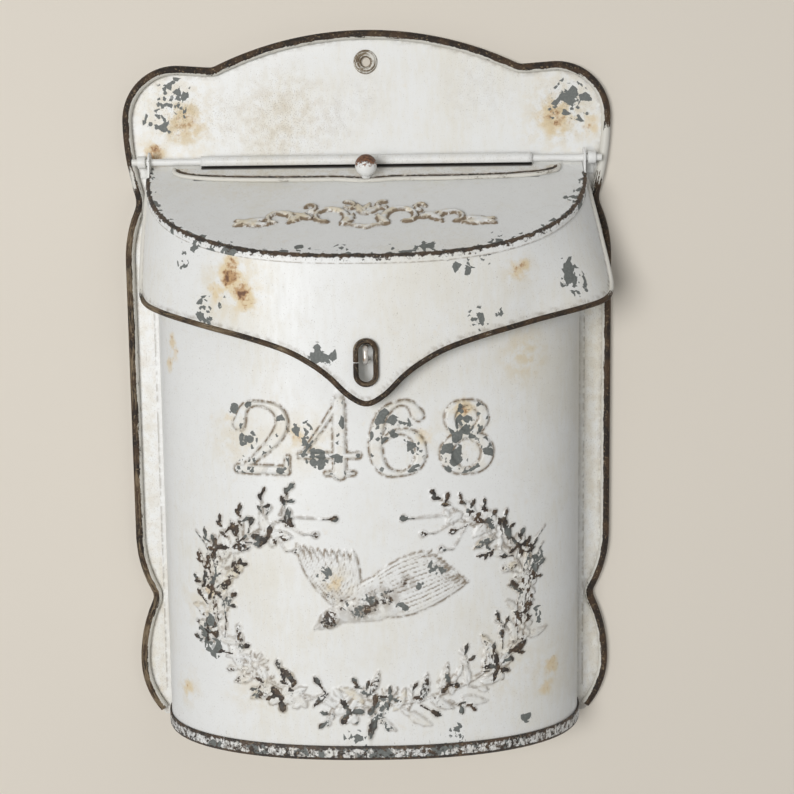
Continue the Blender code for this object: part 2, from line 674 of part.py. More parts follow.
def body_shell():
    floor = BASE_Z + SHEET + GAP
    low, high = [], []
    for distance in BODY_PLAN.distances(PLAN_SEGMENTS):
        x, y = BODY_PLAN.at(distance)
        low.append((x, y, floor))
        high.append((x, y, lid_height(y, SHEET + BODY_TOP_DROP)))
    mesh = sheet_mesh("body_shell", [low, high], SHEET, (0, BODY_FRONT, 0))
    body = add_mesh_object("body_shell", mesh, "enamel_white")
    back = -(SHEET + GAP)
    for side in (-1, 1):
        ends = sorted((side * (BODY_HALF - SHEET * 0.7), side * (BODY_HALF + FLANGE_WIDTH)))
        flange = box_mesh("flange", (ends[0], back - SHEET, FLANGE_BOTTOM), (ends[1], back, FLANGE_TOP))
        combine(body, flange, "UNION")
    strokes = []
    start = DIGIT_MIDDLE - (DIGIT_PITCH * (len(DIGITS) - 1) + DIGIT_WIDTH) / 2
    for i, digit in enumerate(DIGITS):
        for path, widths in digit_strokes(digit):
            placed = [(start + i * DIGIT_PITCH + x * DIGIT_WIDTH, DIGIT_BASE + z * DIGIT_HEIGHT)
                      for x, z in path]
            strokes.append((placed, [width * DIGIT_HEIGHT for width in widths]))
    emboss(body, "numerals", strokes, on_body)
    emboss(body, "wreath", wreath_strokes(), on_body)
    emboss(body, "bird", bird_strokes(), on_body)
    for side in (-1, 1):
        place = Matrix.Translation((0, -BODY_FRONT, STAPLE_Z + side * STAPLE_HALF))
        hole = cylinder_mesh("leg_hole", STAPLE_RADIUS + GAP, 6 * SHEET,
                             place @ Matrix.Rotation(math.radians(90), 4, "X"), 16)
        combine(body, hole, "DIFFERENCE")
    return body


def plan_outline(half_width, front, back_y, power, count):
    plan = Plan(half_width, front, back_y, power)
    return [plan.at(distance) for distance in plan.distances(count)]


def bottom_pan():
    back = -(SHEET + GAP)
    outside, inside = GAP + SHEET, GAP
    outer = plan_outline(BODY_HALF + outside, BODY_FRONT + outside, back, BODY_POWER, PLAN_SEGMENTS)
    inner = plan_outline(BODY_HALF + inside, BODY_FRONT + inside, back, BODY_POWER, PLAN_SEGMENTS)
    behind = BAND_HEIGHT
    inner = [(inner[0][0], behind)] + inner + [(inner[-1][0], behind)]
    middle = Matrix.Translation((0, 0, BASE_Z + BAND_HEIGHT / 2))
    pan = add_mesh_object("bottom_pan", slab_mesh("pan", outer, BAND_HEIGHT, middle), "enamel_white")
    raised = Matrix.Translation((0, 0, BASE_Z + SHEET + BAND_HEIGHT))
    combine(pan, slab_mesh("hollow", inner, 2 * BAND_HEIGHT, raised), "DIFFERENCE")
    return pan


def rounded_path(points, radius, steps=4):
    """A line through points with its corners rounded."""
    corners = [Vector(point) for point in points]
    line = [corners[0]]
    for before, corner, after in zip(corners, corners[1:], corners[2:]):
        start = corner + (before - corner).normalized() * radius
        end = corner + (after - corner).normalized() * radius
        for step in range(steps + 1):
            t = step / steps
            line.append(start * (1 - t) ** 2 + corner * 2 * t * (1 - t) + end * t ** 2)
    line.append(corners[-1])
    return line


def lock_staple():
    inside_y = -(BODY_FRONT - SHEET - GAP - STAPLE_RADIUS)
    bar_y = -(STAPLE_REACH - STAPLE_RADIUS)
    top, bottom = STAPLE_Z + STAPLE_HALF, STAPLE_Z - STAPLE_HALF
    route = [(0, inside_y, top + STAPLE_CLINCH), (0, inside_y, top), (0, bar_y, top), (0, bar_y, bottom),
             (0, inside_y, bottom), (0, inside_y, bottom - STAPLE_CLINCH)]
    mesh = tube_mesh("lock_staple", rounded_path(route, STAPLE_BEND), STAPLE_RADIUS, resolution=2)
    return add_mesh_object("lock_staple", mesh, "bare_steel")


def lid_top():
    back_y = lid_frame(0, -LID_TAIL, -LID_DROP).y
    distances = [d for d in LID_PLAN.distances(PLAN_SEGMENTS + 8) if LID_PLAN.at(d)[1] < back_y - GAP]
    outline = [LID_PLAN.at(d) for d in distances]
    outline = [(outline[0][0], back_y)] + outline + [(outline[-1][0], back_y)]
    rear = [(x, back_y, lid_height(back_y)) for x, y in outline]
    fold = [(x, y, lid_height(y)) for x, y in outline]
    lip = [(x, y, lid_height(y) - LIP_HEIGHT) for x, y in outline]
    inside = (0, -LID_FRONT / 2, 0)
    lid = add_mesh_object("lid_top", sheet_mesh("lid_top", [rear, fold, lip], SHEET, inside), "enamel_white")
    flat = lid_matrix(0, -LID_DROP)
    deep = LIP_HEIGHT + 2 * SHEET
    for side in (-1, 1):
        ends = sorted((side * (LID_HALF - SKIRT_INSET - SHEET - GAP), side * (LID_HALF + SHEET)))
        notch = box_mesh("ear_notch", (ends[0], -EAR_NOTCH, -2 * deep), (ends[1], EAR_NOTCH, deep), flat)
        combine(lid, notch, "DIFFERENCE")
    far = LETTER_SLOT_START + LETTER_SLOT_DEPTH
    slot = box_mesh("letter_slot", (-LETTER_SLOT_HALF, -far, -deep),
                    (LETTER_SLOT_HALF, -LETTER_SLOT_START, deep), flat)
    combine(lid, slot, "DIFFERENCE")
    bay = cylinder_mesh("screw_bay", SLOT_BAY, 2 * deep, flat @ Matrix.Translation((0, -KNOB_POSITION, 0)))
    combine(lid, bay, "DIFFERENCE")
    return emboss(lid, "scrolls", scroll_strokes(),
                  lambda across, down, out: lid_frame(across, down, out - LID_DROP))


def skirt_edge():
    """Free edge of the skirt as (distance along the plan, height), from left to right."""
    length = LID_PLAN.half_length
    right = list(EDGE_FRONT) + [(length - from_end, z) for from_end, z in EDGE_CHEEK]
    whole = [(-u, z) for u, z in reversed(right[1:])] + right
    return smooth_through(whole, 2)


def skirt_point(distance, z, out=0.0):
    """A point of the skirt's outer face; the cheeks' lower corners are bent outwards."""
    under_lip = lid_height(LID_PLAN.at(distance)[1]) - LIP_HEIGHT
    blend = min(1.0, max(0.0, (abs(distance) - FLARE_START) / FLARE_LENGTH))
    flare = FLARE_RIGHT if distance > 0 else FLARE_LEFT
    bend = flare * blend * blend * (3 - 2 * blend) * max(0.0, under_lip - z) / FLARE_DEPTH
    x, y = LID_PLAN.at(distance, out - SKIRT_INSET + bend)
    return Vector((x, y, z))


def stadium(half_width, half_height, steps=7):
    """Outline with round ends, anticlockwise from the right-hand side."""
    rise = half_height - half_width
    outline = []
    for start, shift in ((0.0, rise), (math.pi, -rise)):
        for step in range(steps + 1):
            angle = start + math.pi * step / steps
            outline.append((half_width * math.cos(angle), shift + half_width * math.sin(angle)))
    return outline


def lid_skirt():
    edge = skirt_edge()
    low = [skirt_point(u, z) for u, z in edge]
    under_lip = [skirt_point(u, lid_height(LID_PLAN.at(u)[1]) - LIP_HEIGHT) for u, z in edge]
    high = [skirt_point(u, lid_height(LID_PLAN.at(u)[1], SHEET + GAP)) for u, z in edge]
    mesh = sheet_mesh("lid_skirt", [low, under_lip, high], SHEET, (0, LID_FRONT, HINGE_Z / 2))
    skirt = add_mesh_object("lid_skirt", mesh, "enamel_white")
    bead = [skirt_point(u, z, SKIRT_BEAD * 0.35 - SHEET / 2) for u, z in edge]
    combine(skirt, tube_mesh("bead", bead, SKIRT_BEAD), "UNION")
    for side in (-1, 1):
        outer = side * (LID_HALF - SKIRT_INSET)
        outline = [(EAR_RADIUS * math.cos(a), EAR_RADIUS * math.sin(a))
                   for a in np.radians(np.linspace(0, 180, 13))]
        foot = LID_DROP + SHEET + EAR_ROOT
        outline += [(-EAR_RADIUS * 1.05, -foot), (EAR_RADIUS * 0.55, -foot)]
        # Local X of the ear runs back to the wall, and its local Y runs up
        upright = Matrix(((0, 0, 1, 0), (1, 0, 0, 0), (0, 1, 0, 0), (0, 0, 0, 1)))
        place = Matrix.Translation((outer - side * SHEET / 2, HINGE_Y, HINGE_Z)) @ upright
        combine(skirt, slab_mesh("ear", outline, SHEET, place), "UNION")
    bore = Matrix.Translation((0, HINGE_Y, HINGE_Z)) @ Matrix.Rotation(math.radians(90), 4, "Y")
    combine(skirt, cylinder_mesh("rod_hole", ROD_RADIUS + RUNNING, 2 * ROD_HALF_LENGTH, bore), "DIFFERENCE")
    place = Matrix.Translation((0, -LID_FRONT, LOCK_Z)) @ Matrix.Rotation(math.radians(90), 4, "X")
    slot = slab_mesh("lock_slot", stadium(LOCK_HALF_WIDTH, LOCK_HALF_HEIGHT), 12 * SHEET, place)
    return combine(skirt, slot, "DIFFERENCE")


def lock_slot_ring():
    loop = stadium(LOCK_HALF_WIDTH + RING_RADIUS, LOCK_HALF_HEIGHT + RING_RADIUS)
    y = -(LID_FRONT - SKIRT_INSET + GAP + RING_RADIUS)
    left_side = len(loop) // 2
    split = loop[left_side:] + loop[:left_side]
    half_joint = RING_JOINT / 2
    ends = (split[0][0], -half_joint), (split[0][0], half_joint)
    route = [ends[0], *split, ends[1]]
    mesh = tube_mesh("lock_slot_ring", [(x, y, LOCK_Z + z) for x, z in route], RING_RADIUS, resolution=2)
    return add_mesh_object("lock_slot_ring", mesh, "worn_edge")


def flap_front(across):
    """Front edge of the flap, down the slope from the axis."""
    share = min(1.0, abs(across) / FLAP_HALF)
    depth = (FLAP_DEPTH - FLAP_BACK) * (1 - share ** FLAP_POWER) ** (1 / FLAP_POWER)
    lobe = 0.0
    if abs(across) < FLAP_LOBE_HALF:
        lobe = FLAP_LOBE * 0.5 * (1 + math.cos(math.pi * across / FLAP_LOBE_HALF))
    return FLAP_BACK + depth + lobe


def flap_outline():
    steps = [math.cos(a) * FLAP_HALF for a in np.radians(np.linspace(180, 0, 33))]
    return [(across, flap_front(across)) for across in steps]


def slot_flap():
    middle = ROD_RADIUS + RUNNING + SHEET / 2
    front = flap_outline()
    outline = [(x, -v) for x, v in front]
    flap = add_mesh_object("slot_flap", slab_mesh("flap_sheet", outline, SHEET, lid_matrix(0, -middle)),
                           "enamel_white")
    roll = [(middle * math.cos(a), middle * math.sin(a)) for a in np.radians(np.linspace(-25, 270, 15))]
    roll.append((FLAP_BACK + FLAP_OVERLAP, -middle))
    near, far = ([lid_frame(end * FLAP_KNUCKLE_HALF, down, up) for down, up in roll] for end in (-1, 1))
    knuckle = add_mesh_object("knuckle_surface", strip_mesh("knuckle", near, far))
    mesh = evaluated_mesh(thicken(knuckle, KNUCKLE_SHEET))
    mesh.name = "knuckle"
    combine(flap, mesh, "UNION")
    bead = [lid_frame(x, v - FLAP_BEAD * 0.4, -middle + FLAP_BEAD * 0.6) for x, v in front]
    combine(flap, tube_mesh("front_bead", bead, FLAP_BEAD), "UNION")
    hole = cylinder_mesh("screw_hole", SCREW_RADIUS + GAP, 8 * SHEET, lid_matrix(KNOB_POSITION, -middle), 16)
    return combine(flap, hole, "DIFFERENCE")


def knob_seat():
    """Height of the flap's upper face above the hinge axis, normal to the lid."""
    return -(ROD_RADIUS + RUNNING)


def flap_knob():
    ball = GAP + KNOB_STAND + KNOB_RADIUS * 0.97
    bore = SCREW_RADIUS + GAP
    profile = [(0.0, ball + KNOB_RADIUS)]
    reach = math.acos(-math.sqrt(1 - (KNOB_NECK / KNOB_RADIUS) ** 2))
    for step in range(1, 10):
        angle = reach * step / 9
        profile.append((KNOB_RADIUS * math.sin(angle), ball + KNOB_RADIUS * math.cos(angle)))
    foot_top = GAP + KNOB_STAND * 0.5
    profile += [(KNOB_FOOT, foot_top), (KNOB_FOOT, GAP), (bore, GAP), (bore, GAP + SCREW_DEPTH + GAP),
                (0.0, GAP + SCREW_DEPTH + GAP)]
    place = lid_matrix(KNOB_POSITION, knob_seat())
    return turned("flap_knob", profile, "enamel_white", place, KNOB_SIDES)


def knob_screw():
    top = GAP + SCREW_DEPTH
    under = -(SHEET + GAP)
    low = under - SCREW_HEAD_HEIGHT
    profile = [(0.0, top), (SCREW_RADIUS, top), (SCREW_RADIUS, under), (SCREW_HEAD_RADIUS, under),
               (SCREW_HEAD_RADIUS, low + SCREW_HEAD_HEIGHT / 2), (SCREW_HEAD_RADIUS * 0.7, low), (0.0, low)]
    place = lid_matrix(KNOB_POSITION, knob_seat())
    return turned("knob_screw", profile, "bare_steel", place, KNOB_SIDES)


clear_scene()
back_plate()
hanging_eyelet()
hinge_lugs()
hinge_rod()
body_shell()
bottom_pan()
lock_staple()
lid_top()
lid_skirt()
lock_slot_ring()
slot_flap()
flap_knob()
knob_screw()
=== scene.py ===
"""Looks of a wall letterbox of enamelled sheet steel, chipped, stained and worn brown
along its edges. Metres, +Z up; the plate's back lies in Y = 0 and the front faces -Y."""

import json
import math
import random

import bmesh
import bpy
import numpy as np
from mathutils import Matrix, Vector
from mathutils.geometry import delaunay_2d_cdt


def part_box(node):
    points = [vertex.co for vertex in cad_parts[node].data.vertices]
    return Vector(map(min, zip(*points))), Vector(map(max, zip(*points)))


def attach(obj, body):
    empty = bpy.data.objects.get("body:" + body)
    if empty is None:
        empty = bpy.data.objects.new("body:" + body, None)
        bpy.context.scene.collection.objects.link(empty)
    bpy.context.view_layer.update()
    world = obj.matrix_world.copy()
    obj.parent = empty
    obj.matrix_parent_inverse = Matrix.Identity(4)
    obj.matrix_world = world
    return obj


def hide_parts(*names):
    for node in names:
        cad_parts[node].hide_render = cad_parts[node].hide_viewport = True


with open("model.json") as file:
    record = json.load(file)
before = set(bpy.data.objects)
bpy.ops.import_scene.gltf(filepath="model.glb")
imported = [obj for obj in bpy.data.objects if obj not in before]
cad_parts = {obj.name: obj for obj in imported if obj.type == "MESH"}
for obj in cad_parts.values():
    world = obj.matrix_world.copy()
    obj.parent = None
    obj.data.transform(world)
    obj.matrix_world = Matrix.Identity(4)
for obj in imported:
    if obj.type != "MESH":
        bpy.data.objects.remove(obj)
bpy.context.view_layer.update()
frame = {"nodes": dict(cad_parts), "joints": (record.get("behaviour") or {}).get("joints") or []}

MM = 0.001

# Sheet and clearances, as in the solids
SHEET = 0.0008
GAP = 0.0003
RUNNING = 0.00035

# Plate outline, as in the solids
PLATE_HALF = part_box("back_plate")[1].x
PLATE_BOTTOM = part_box("back_plate")[0].z
SIDE_TOP = 0.075
SIDE_BOTTOM = -0.075
FLANK_RADIUS = 0.067
WAIST_RADIUS = 0.011
SHOULDER_RADIUS = 0.140
LOBE_RADIUS = 0.029
LOBE_TOP_LENGTH = 0.0151
SHOULDER_Z = 0.125
HOLLOW_RADIUS = 0.008
FOOT_WAIST_RADIUS = 0.006
FOOT_FLANK_RADIUS = 0.081
FOOT_LOBE_RADIUS = 0.046
RIM_RADIUS = 0.0024
RIM_SETBACK = 0.0001

# Eyelet
EYELET_Z = 0.1782
EYELET_HOLE = 0.00245
EYELET_BARREL = 0.0034
EYELET_FLANGE = 0.00635
EYELET_HEIGHT = 0.0012

# Box
BOX_BACK = -(SHEET + GAP)
BODY_HALF = 0.1125
BODY_FRONT = 0.0700
BODY_POWER = 2.3
BASE_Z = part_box("bottom_pan")[0].z
BAND_HEIGHT = 0.0080
BAND_ROLL = 0.0022
BAND_TIP = 0.0003
BODY_TOP_DROP = 0.0048
FLANGE_WIDTH = 0.0037
FLANGE_TOP = 0.1140
FLANGE_BOTTOM = -0.1630

# Hinge and lid
HINGE = Vector(frame["joints"][0]["pos_m"])
ROD_RADIUS = 0.0018
ROD_HALF_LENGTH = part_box("hinge_rod")[1].x
LID_SLOPE = math.radians(31.2)
LID_HALF = 0.1157
LID_FRONT = 0.0815
LID_BACK_Y = -0.0010
LID_POWER = 2.6
LID_DROP = 0.0033
LID_TAIL = 0.0030
LIP_HEIGHT = 0.0036
FOLD_RADIUS = 0.0013      # rounding of the lid's front fold
EAR_RADIUS = 0.0052
EAR_NOTCH = 0.0100
EAR_ROOT = 0.0045
LETTER_SLOT_HALF = 0.0900
LETTER_SLOT_START = 0.0052
LETTER_SLOT_DEPTH = 0.0086

# Skirt: free edge from the centre outwards, then the cheek's edge back from the hinge end
EDGE_FRONT = ((0.0, 0.0074), (0.009, 0.0118), (0.018, 0.0205), (0.027, 0.0272), (0.040, 0.0340),
              (0.060, 0.0402), (0.085, 0.0458))
EDGE_CHEEK = ((0.053, 0.0512), (0.038, 0.0552), (0.0300, 0.0610), (0.0262, 0.0700), (0.0220, 0.0850),
              (0.0160, 0.1040), (0.0125, 0.1150))
SKIRT_BEAD = 0.0014
FLARE_LEFT = 0.0055
FLARE_RIGHT = 0.0145
FLARE_DEPTH = 0.0450
FLARE_START = 0.080
FLARE_LENGTH = 0.050
SKIRT_INSET = SHEET + GAP

# Lock
LOCK_Z = 0.02765
LOCK_HALF_WIDTH = 0.00355
LOCK_HALF_HEIGHT = 0.00935
RING_RADIUS = 0.0013
RING_JOINT = 0.0006
STAPLE_RADIUS = 0.00125
STAPLE_Z = 0.0318
STAPLE_HALF = 0.00345
STAPLE_REACH = 0.0900
STAPLE_BEND = 0.0022
STAPLE_CLINCH = 0.0040

# Flap and knob
FLAP_HALF = 0.1010
FLAP_KNUCKLE_HALF = 0.0870
FLAP_BACK = 0.0034
FLAP_DEPTH = 0.0170
FLAP_POWER = 3.5
FLAP_LOBE = 0.0016
FLAP_LOBE_HALF = 0.0160
FLAP_BEAD = 0.00105
FLAP_UNDER = -(ROD_RADIUS + RUNNING)
FLAP_WORN = (0.0038, 0.0013)    # a rubbed line: from the front edge, and its width
KNOB_RADIUS = 0.00565
KNOB_POSITION = 0.0142
KNOB_NECK = 0.0016
KNOB_FOOT = 0.0024
KNOB_STAND = 0.0012
KNOB_LIFT = 0.97          # the ball's middle above its stand, in radii
SCREW_BAY = 0.0034

# Raised work
EMBOSS = 0.0016
DIGITS = "2468"
DIGIT_HEIGHT = 0.0365
DIGIT_WIDTH = 0.0290
DIGIT_PITCH = 0.0345
DIGIT_BASE = -0.0300
DIGIT_MIDDLE = -0.0020
DIGIT_SLOPE = 0.0011      # width of a numeral's sloping sides
WREATH_Z = -0.0970
WREATH_HALF_WIDTH = 0.0830
WREATH_HALF_HEIGHT = 0.0520
BIRD_X = -0.0010
BIRD_Z = -0.0900
SCROLL_POSITION = 0.0500
SCROLL_AREA = ((-0.0700, -0.0175), (0.0700, 0.0145))
RELIEF_HALF = 0.1040      # region of the box wall that gets a fine mesh
RELIEF_LOW = -0.1640
RELIEF_HIGH = 0.0090
RELIEF_STEP = 0.00072

# Spacing of the other mesh points
PLATE_STEP = 0.0024
BOX_STEP = 0.0022
BOTTOM_STEP = 0.0060
LID_STEP = 0.0020
SCROLL_STEP = 0.00062
SKIRT_STEP = 0.0017
EAR_STEP = 0.0015

# Softening of edges and merging of points
CREASE = 40               # degrees at which shading breaks
LUG_BEVEL = 0.0003
SCREW_BEVEL = 0.0002
MERGE = 0.000001
SOLID_MERGE = 0.000002


# Outlines and surfaces

def arc(points, heading, radius, turn, steps):
    """Extends a line of 2D points by an arc. A positive turn bends to the left."""
    x, y = points[-1]
    side = 1.0 if turn > 0 else -1.0
    centre = (x - side * radius * math.sin(heading), y + side * radius * math.cos(heading))
    for step in range(1, steps + 1):
        angle = heading + turn * step / steps
        points.append((centre[0] + side * radius * math.sin(angle),
                       centre[1] - side * radius * math.cos(angle)))
    return heading + turn


def smooth_through(points, steps):
    """A Catmull-Rom curve through points, with `steps` pieces in each stretch."""
    known = np.array(points, dtype=float)
    ends = np.vstack((2 * known[0] - known[1], known, 2 * known[-1] - known[-2]))
    share = np.linspace(0, 1, steps, endpoint=False)[:, None]
    line = []
    for a, b, c, d in zip(ends, ends[1:], ends[2:], ends[3:]):
        line.extend(0.5 * (2 * b + (c - a) * share + (2 * a - 5 * b + 4 * c - d) * share ** 2
                           + (3 * b - 3 * c + d - a) * share ** 3))
    line.append(known[-1])
    return np.array(line)


class Plan:
    """A rounded front seen from above, a half superellipse, read by distance from its middle."""

    def __init__(self, half_width, front, back_y, power):
        angle = np.linspace(0.0, math.pi, 8001)
        self.x = -half_width * np.sign(np.cos(angle)) * np.abs(np.cos(angle)) ** (2 / power)
        self.y = back_y - (front + back_y) * np.abs(np.sin(angle)) ** (2 / power)
        run = np.concatenate(([0.0], np.cumsum(np.hypot(np.diff(self.x), np.diff(self.y)))))
        self.half_length = run[-1] / 2
        self.run = run - self.half_length

    def at(self, distance, out=0.0):
        """(x, y) arrays for distances along the plan, moved outwards by `out`."""
        step = 0.0004
        distance = np.asarray(distance, dtype=float)
        x, y = np.interp(distance, self.run, self.x), np.interp(distance, self.run, self.y)
        dx, dy = (np.interp(distance + step, self.run, v) - np.interp(distance - step, self.run, v)
                  for v in (self.x, self.y))
        length = np.hypot(dx, dy)
        return x + out * dy / length, y - out * dx / length


BODY_PLAN = Plan(BODY_HALF, BODY_FRONT, BOX_BACK, BODY_POWER)
LID_PLAN = Plan(LID_HALF, LID_FRONT, LID_BACK_Y, LID_POWER)


def lid_point(across, down, up=-LID_DROP):
    """Points from lid coordinates: across, down the slope from the hinge, and above it."""
    across, down, up = np.broadcast_arrays(across, down, up)
    return np.stack((across,
                     HINGE.y - down * math.cos(LID_SLOPE) - up * math.sin(LID_SLOPE),
                     HINGE.z - down * math.sin(LID_SLOPE) + up * math.cos(LID_SLOPE)), axis=-1)


def lid_down(y):
    """Distance down the slope of a point of the lid's upper face at a depth y."""
    return (HINGE.y + LID_DROP * math.sin(LID_SLOPE) - y) / math.cos(LID_SLOPE)


def lid_height(y, below=0.0):
    return (HINGE.z - (LID_DROP + below) / math.cos(LID_SLOPE)
            + (y - HINGE.y) * math.tan(LID_SLOPE))


LID_UP = (0, -math.sin(LID_SLOPE), math.cos(LID_SLOPE))


def plate_edge(detail):
    """Right half of the plate's outline, from the middle of the top down to its foot."""
    flank, waist, lean, dip, arch_end = (math.radians(a) for a in (24, 40, 16, 4, 25))
    foot_flank, foot_waist, foot_lean = (math.radians(a) for a in (28, 53, 25))
    up = [(PLATE_HALF, SIDE_TOP)]
    heading = arc(up, math.radians(90), FLANK_RADIUS, flank, 3 * detail)
    heading = arc(up, heading, WAIST_RADIUS, -waist, 3 * detail)
    heading = arc(up, heading, SHOULDER_RADIUS, lean, 4 * detail)
    heading = arc(up, heading, LOBE_RADIUS, math.radians(90) + dip, 9 * detail)
    up.append((up[-1][0] + LOBE_TOP_LENGTH * math.cos(heading),
               up[-1][1] + LOBE_TOP_LENGTH * math.sin(heading)))
    heading = arc(up, heading, HOLLOW_RADIUS, -(dip + arch_end), 3 * detail)
    arc(up, heading, up[-1][0] / math.sin(arch_end), arch_end, 10 * detail)
    down = [(PLATE_HALF, SIDE_BOTTOM)]
    heading = arc(down, math.radians(-90), FLANK_RADIUS, -foot_flank, 3 * detail)
    heading = arc(down, heading, FOOT_WAIST_RADIUS, foot_waist, 3 * detail)
    heading = arc(down, heading, FOOT_FLANK_RADIUS, -foot_lean, 3 * detail)
    drop = (down[-1][1] - PLATE_BOTTOM) / FOOT_LOBE_RADIUS
    arc(down, heading, FOOT_LOBE_RADIUS, -math.asin(min(1.0, drop)), 5 * detail)
    return up[::-1] + down


def inset(points, amount):
    """Moves each point of an open line sideways, to the right of its direction of travel."""
    line = np.array(points, dtype=float)
    along = np.gradient(line, axis=0)
    along /= np.linalg.norm(along, axis=1)[:, None]
    return line + amount * np.stack((along[:, 1], -along[:, 0]), axis=1)


def mirrored(points):
    return np.array([(-x, z) for x, z in reversed(points)] + list(points[1:]))


def stadium(half_width, half_height, steps=12):
    rise = half_height - half_width
    outline = []
    for start, shift in ((0.0, rise), (math.pi, -rise)):
        for step in range(steps + 1):
            angle = start + math.pi * step / steps
            outline.append((half_width * math.cos(angle), shift + half_width * math.sin(angle)))
    return np.array(outline)


def circle(radius, centre=(0.0, 0.0), sides=32):
    angles = np.linspace(0, 2 * math.pi, sides, endpoint=False)
    return np.stack((centre[0] + radius * np.cos(angles), centre[1] + radius * np.sin(angles)), axis=1)


def in_parts(points):
    """Points in stretches short enough for one table of distances."""
    return np.array_split(points, max(1, len(points) // 4000))


def inside_loop(points, loop):
    """Which points lie inside a closed loop."""
    ax, ay = loop[:, 0], loop[:, 1]
    bx, by = np.roll(ax, -1), np.roll(ay, -1)
    rise = np.where(by == ay, 1.0, by - ay)
    found = []
    for part in in_parts(points):
        x, y = part[:, 0, None], part[:, 1, None]
        crosses = (ay > y) != (by > y)
        found.append((crosses & (x < (bx - ax) * (y - ay) / rise + ax)).sum(axis=1) % 2 == 1)
    return np.concatenate(found)


def distance_to(points, line, closed=False):
    """Shortest distance from each 2D point to a line of points."""
    line = np.asarray(line, dtype=float)
    start, end = (line, np.roll(line, -1, axis=0)) if closed else (line[:-1], line[1:])
    run = end - start
    square = np.maximum((run ** 2).sum(axis=1), 1e-12)
    found = []
    for part in in_parts(points):
        away = part[:, None] - start
        share = np.clip((away * run).sum(axis=2) / square, 0, 1)
        found.append(np.sqrt(((away - share[..., None] * run) ** 2).sum(axis=2)).min(axis=1))
    return np.concatenate(found)


def filled(loops, spacing, fine=None):
    """Points and triangles over a flat outline with holes. The first loop is the outside, and
    `fine` is (low corner, high corner, spacing) of a region with closer points."""
    outer = loops[0]
    low, high = outer.min(axis=0), outer.max(axis=0)

    def grid(start, stop, step):
        axes = [np.arange(a + step / 2, b, step) for a, b in zip(start, stop)]
        return np.stack(np.meshgrid(*axes), axis=-1).reshape(-1, 2)

    def clear(points, step):
        keep = inside_loop(points, outer)
        points = points[keep]
        keep = distance_to(points, outer, closed=True) > 0.5 * step
        for hole in loops[1:]:
            keep &= ~inside_loop(points, hole)
            keep &= distance_to(points, hole, closed=True) > 0.5 * step
        return points[keep]

    points = clear(grid(low, high, spacing), spacing)
    if fine:
        start, stop, step = fine
        in_fine = ((points > np.array(start)) & (points < np.array(stop))).all(axis=1)
        points = np.vstack((points[~in_fine], clear(grid(start, stop, step), step)))
    every = np.vstack((*loops, points))
    edges, first = [], 0
    for loop in loops:
        edges += [(first + i, first + (i + 1) % len(loop)) for i in range(len(loop))]
        first += len(loop)
    verts, _, faces, origin, _, _ = delaunay_2d_cdt([Vector(p) for p in every], edges, [], 1, 1e-8)
    verts = np.array([tuple(v) for v in verts])
    faces = np.array(faces)
    middles = verts[faces].mean(axis=1)
    for hole in loops[1:]:
        keep = ~inside_loop(middles, hole)
        faces, middles = faces[keep], middles[keep]
    place = {}
    for index, sources in enumerate(origin):
        for source in sources:
            place[source] = index
    first, rims = 0, []
    for loop in loops:
        rims.append([place[first + i] for i in range(len(loop))])
        first += len(loop)
    return verts, faces.tolist(), rims


def grid_faces(rows, columns, first=0):
    return [(first + i * columns + j, first + i * columns + j + 1, first + (i + 1) * columns + j + 1,
             first + (i + 1) * columns + j) for i in range(rows - 1) for j in range(columns - 1)]


# Pieces

def paint_on(mesh, marks):
    """Stores named per-point values on a mesh."""
    for name, values in marks.items():
        layer = mesh.attributes.new(name, "FLOAT", "POINT")
        layer.data.foreach_set("value", np.asarray(values, dtype=np.float32))


def in_scene(name, data):
    """A new object that holds the data."""
    thing = bpy.data.objects.new(name, data)
    bpy.context.scene.collection.objects.link(thing)
    return thing


def show(name, mesh, material):
    mesh.materials.clear()
    mesh.materials.append(material)
    mesh.shade_smooth()
    return in_scene(name, mesh)


def points_of(piece):
    """A piece's mesh points as an array."""
    return np.array([v.co for v in piece.data.vertices])


def smoothed(piece, crease=CREASE):
    """Shades a piece smooth up to its creases, given in degrees."""
    piece.data.shade_smooth()
    piece.data.set_sharp_from_angle(angle=math.radians(crease))
    return piece


def made_plain(piece):
    """The piece with its modifiers turned into a plain mesh."""
    bpy.context.view_layer.update()
    ready = piece.evaluated_get(bpy.context.evaluated_depsgraph_get())
    mesh = bpy.data.meshes.new_from_object(ready)
    piece.modifiers.clear()
    if piece.type == "MESH":
        piece.data = mesh
        return piece
    material = piece.data.materials[0]
    name = piece.name
    bpy.data.objects.remove(piece, do_unlink=True)
    return show(name, mesh, material)


def thicken(piece, thickness, offset=-1.0):
    """The piece with its face made a sheet, which lies behind the face where offset is -1."""
    wall = piece.modifiers.new("wall", "SOLIDIFY")
    wall.thickness = thickness
    wall.offset = offset
    return made_plain(piece)


ONE_SIDED = ("chip", "rust", "cream", "speck", "line", "streak", "worn")


def clear_inside(piece, outer_count):
    """Takes the outer face's chips and stains off the points of the sheet's other face."""
    for layer in piece.data.attributes:
        if layer.name in ONE_SIDED:
            values = np.zeros(len(piece.data.vertices), dtype=np.float32)
            layer.data.foreach_get("value", values)
            values[outer_count:] = 0.0
            layer.data.foreach_set("value", values)


def sheet(name, points, faces, material, marks=None, thickness=SHEET, outward=(0, -1, 0), crease=CREASE):
    """A wall of sheet metal behind an outer face. `outward` is the way its first face looks."""
    mesh = bpy.data.meshes.new(name)
    mesh.from_pydata([tuple(p) for p in points], [], faces)
    paint_on(mesh, marks or {})
    mesh.update()
    biggest = max(mesh.polygons, key=lambda face: face.area)
    if biggest.normal.dot(Vector(outward)) < 0:
        mesh.flip_normals()
    piece = show(name, mesh, material)
    if thickness:
        piece = thicken(piece, thickness)
        clear_inside(piece, len(points))
    return smoothed(piece, crease)


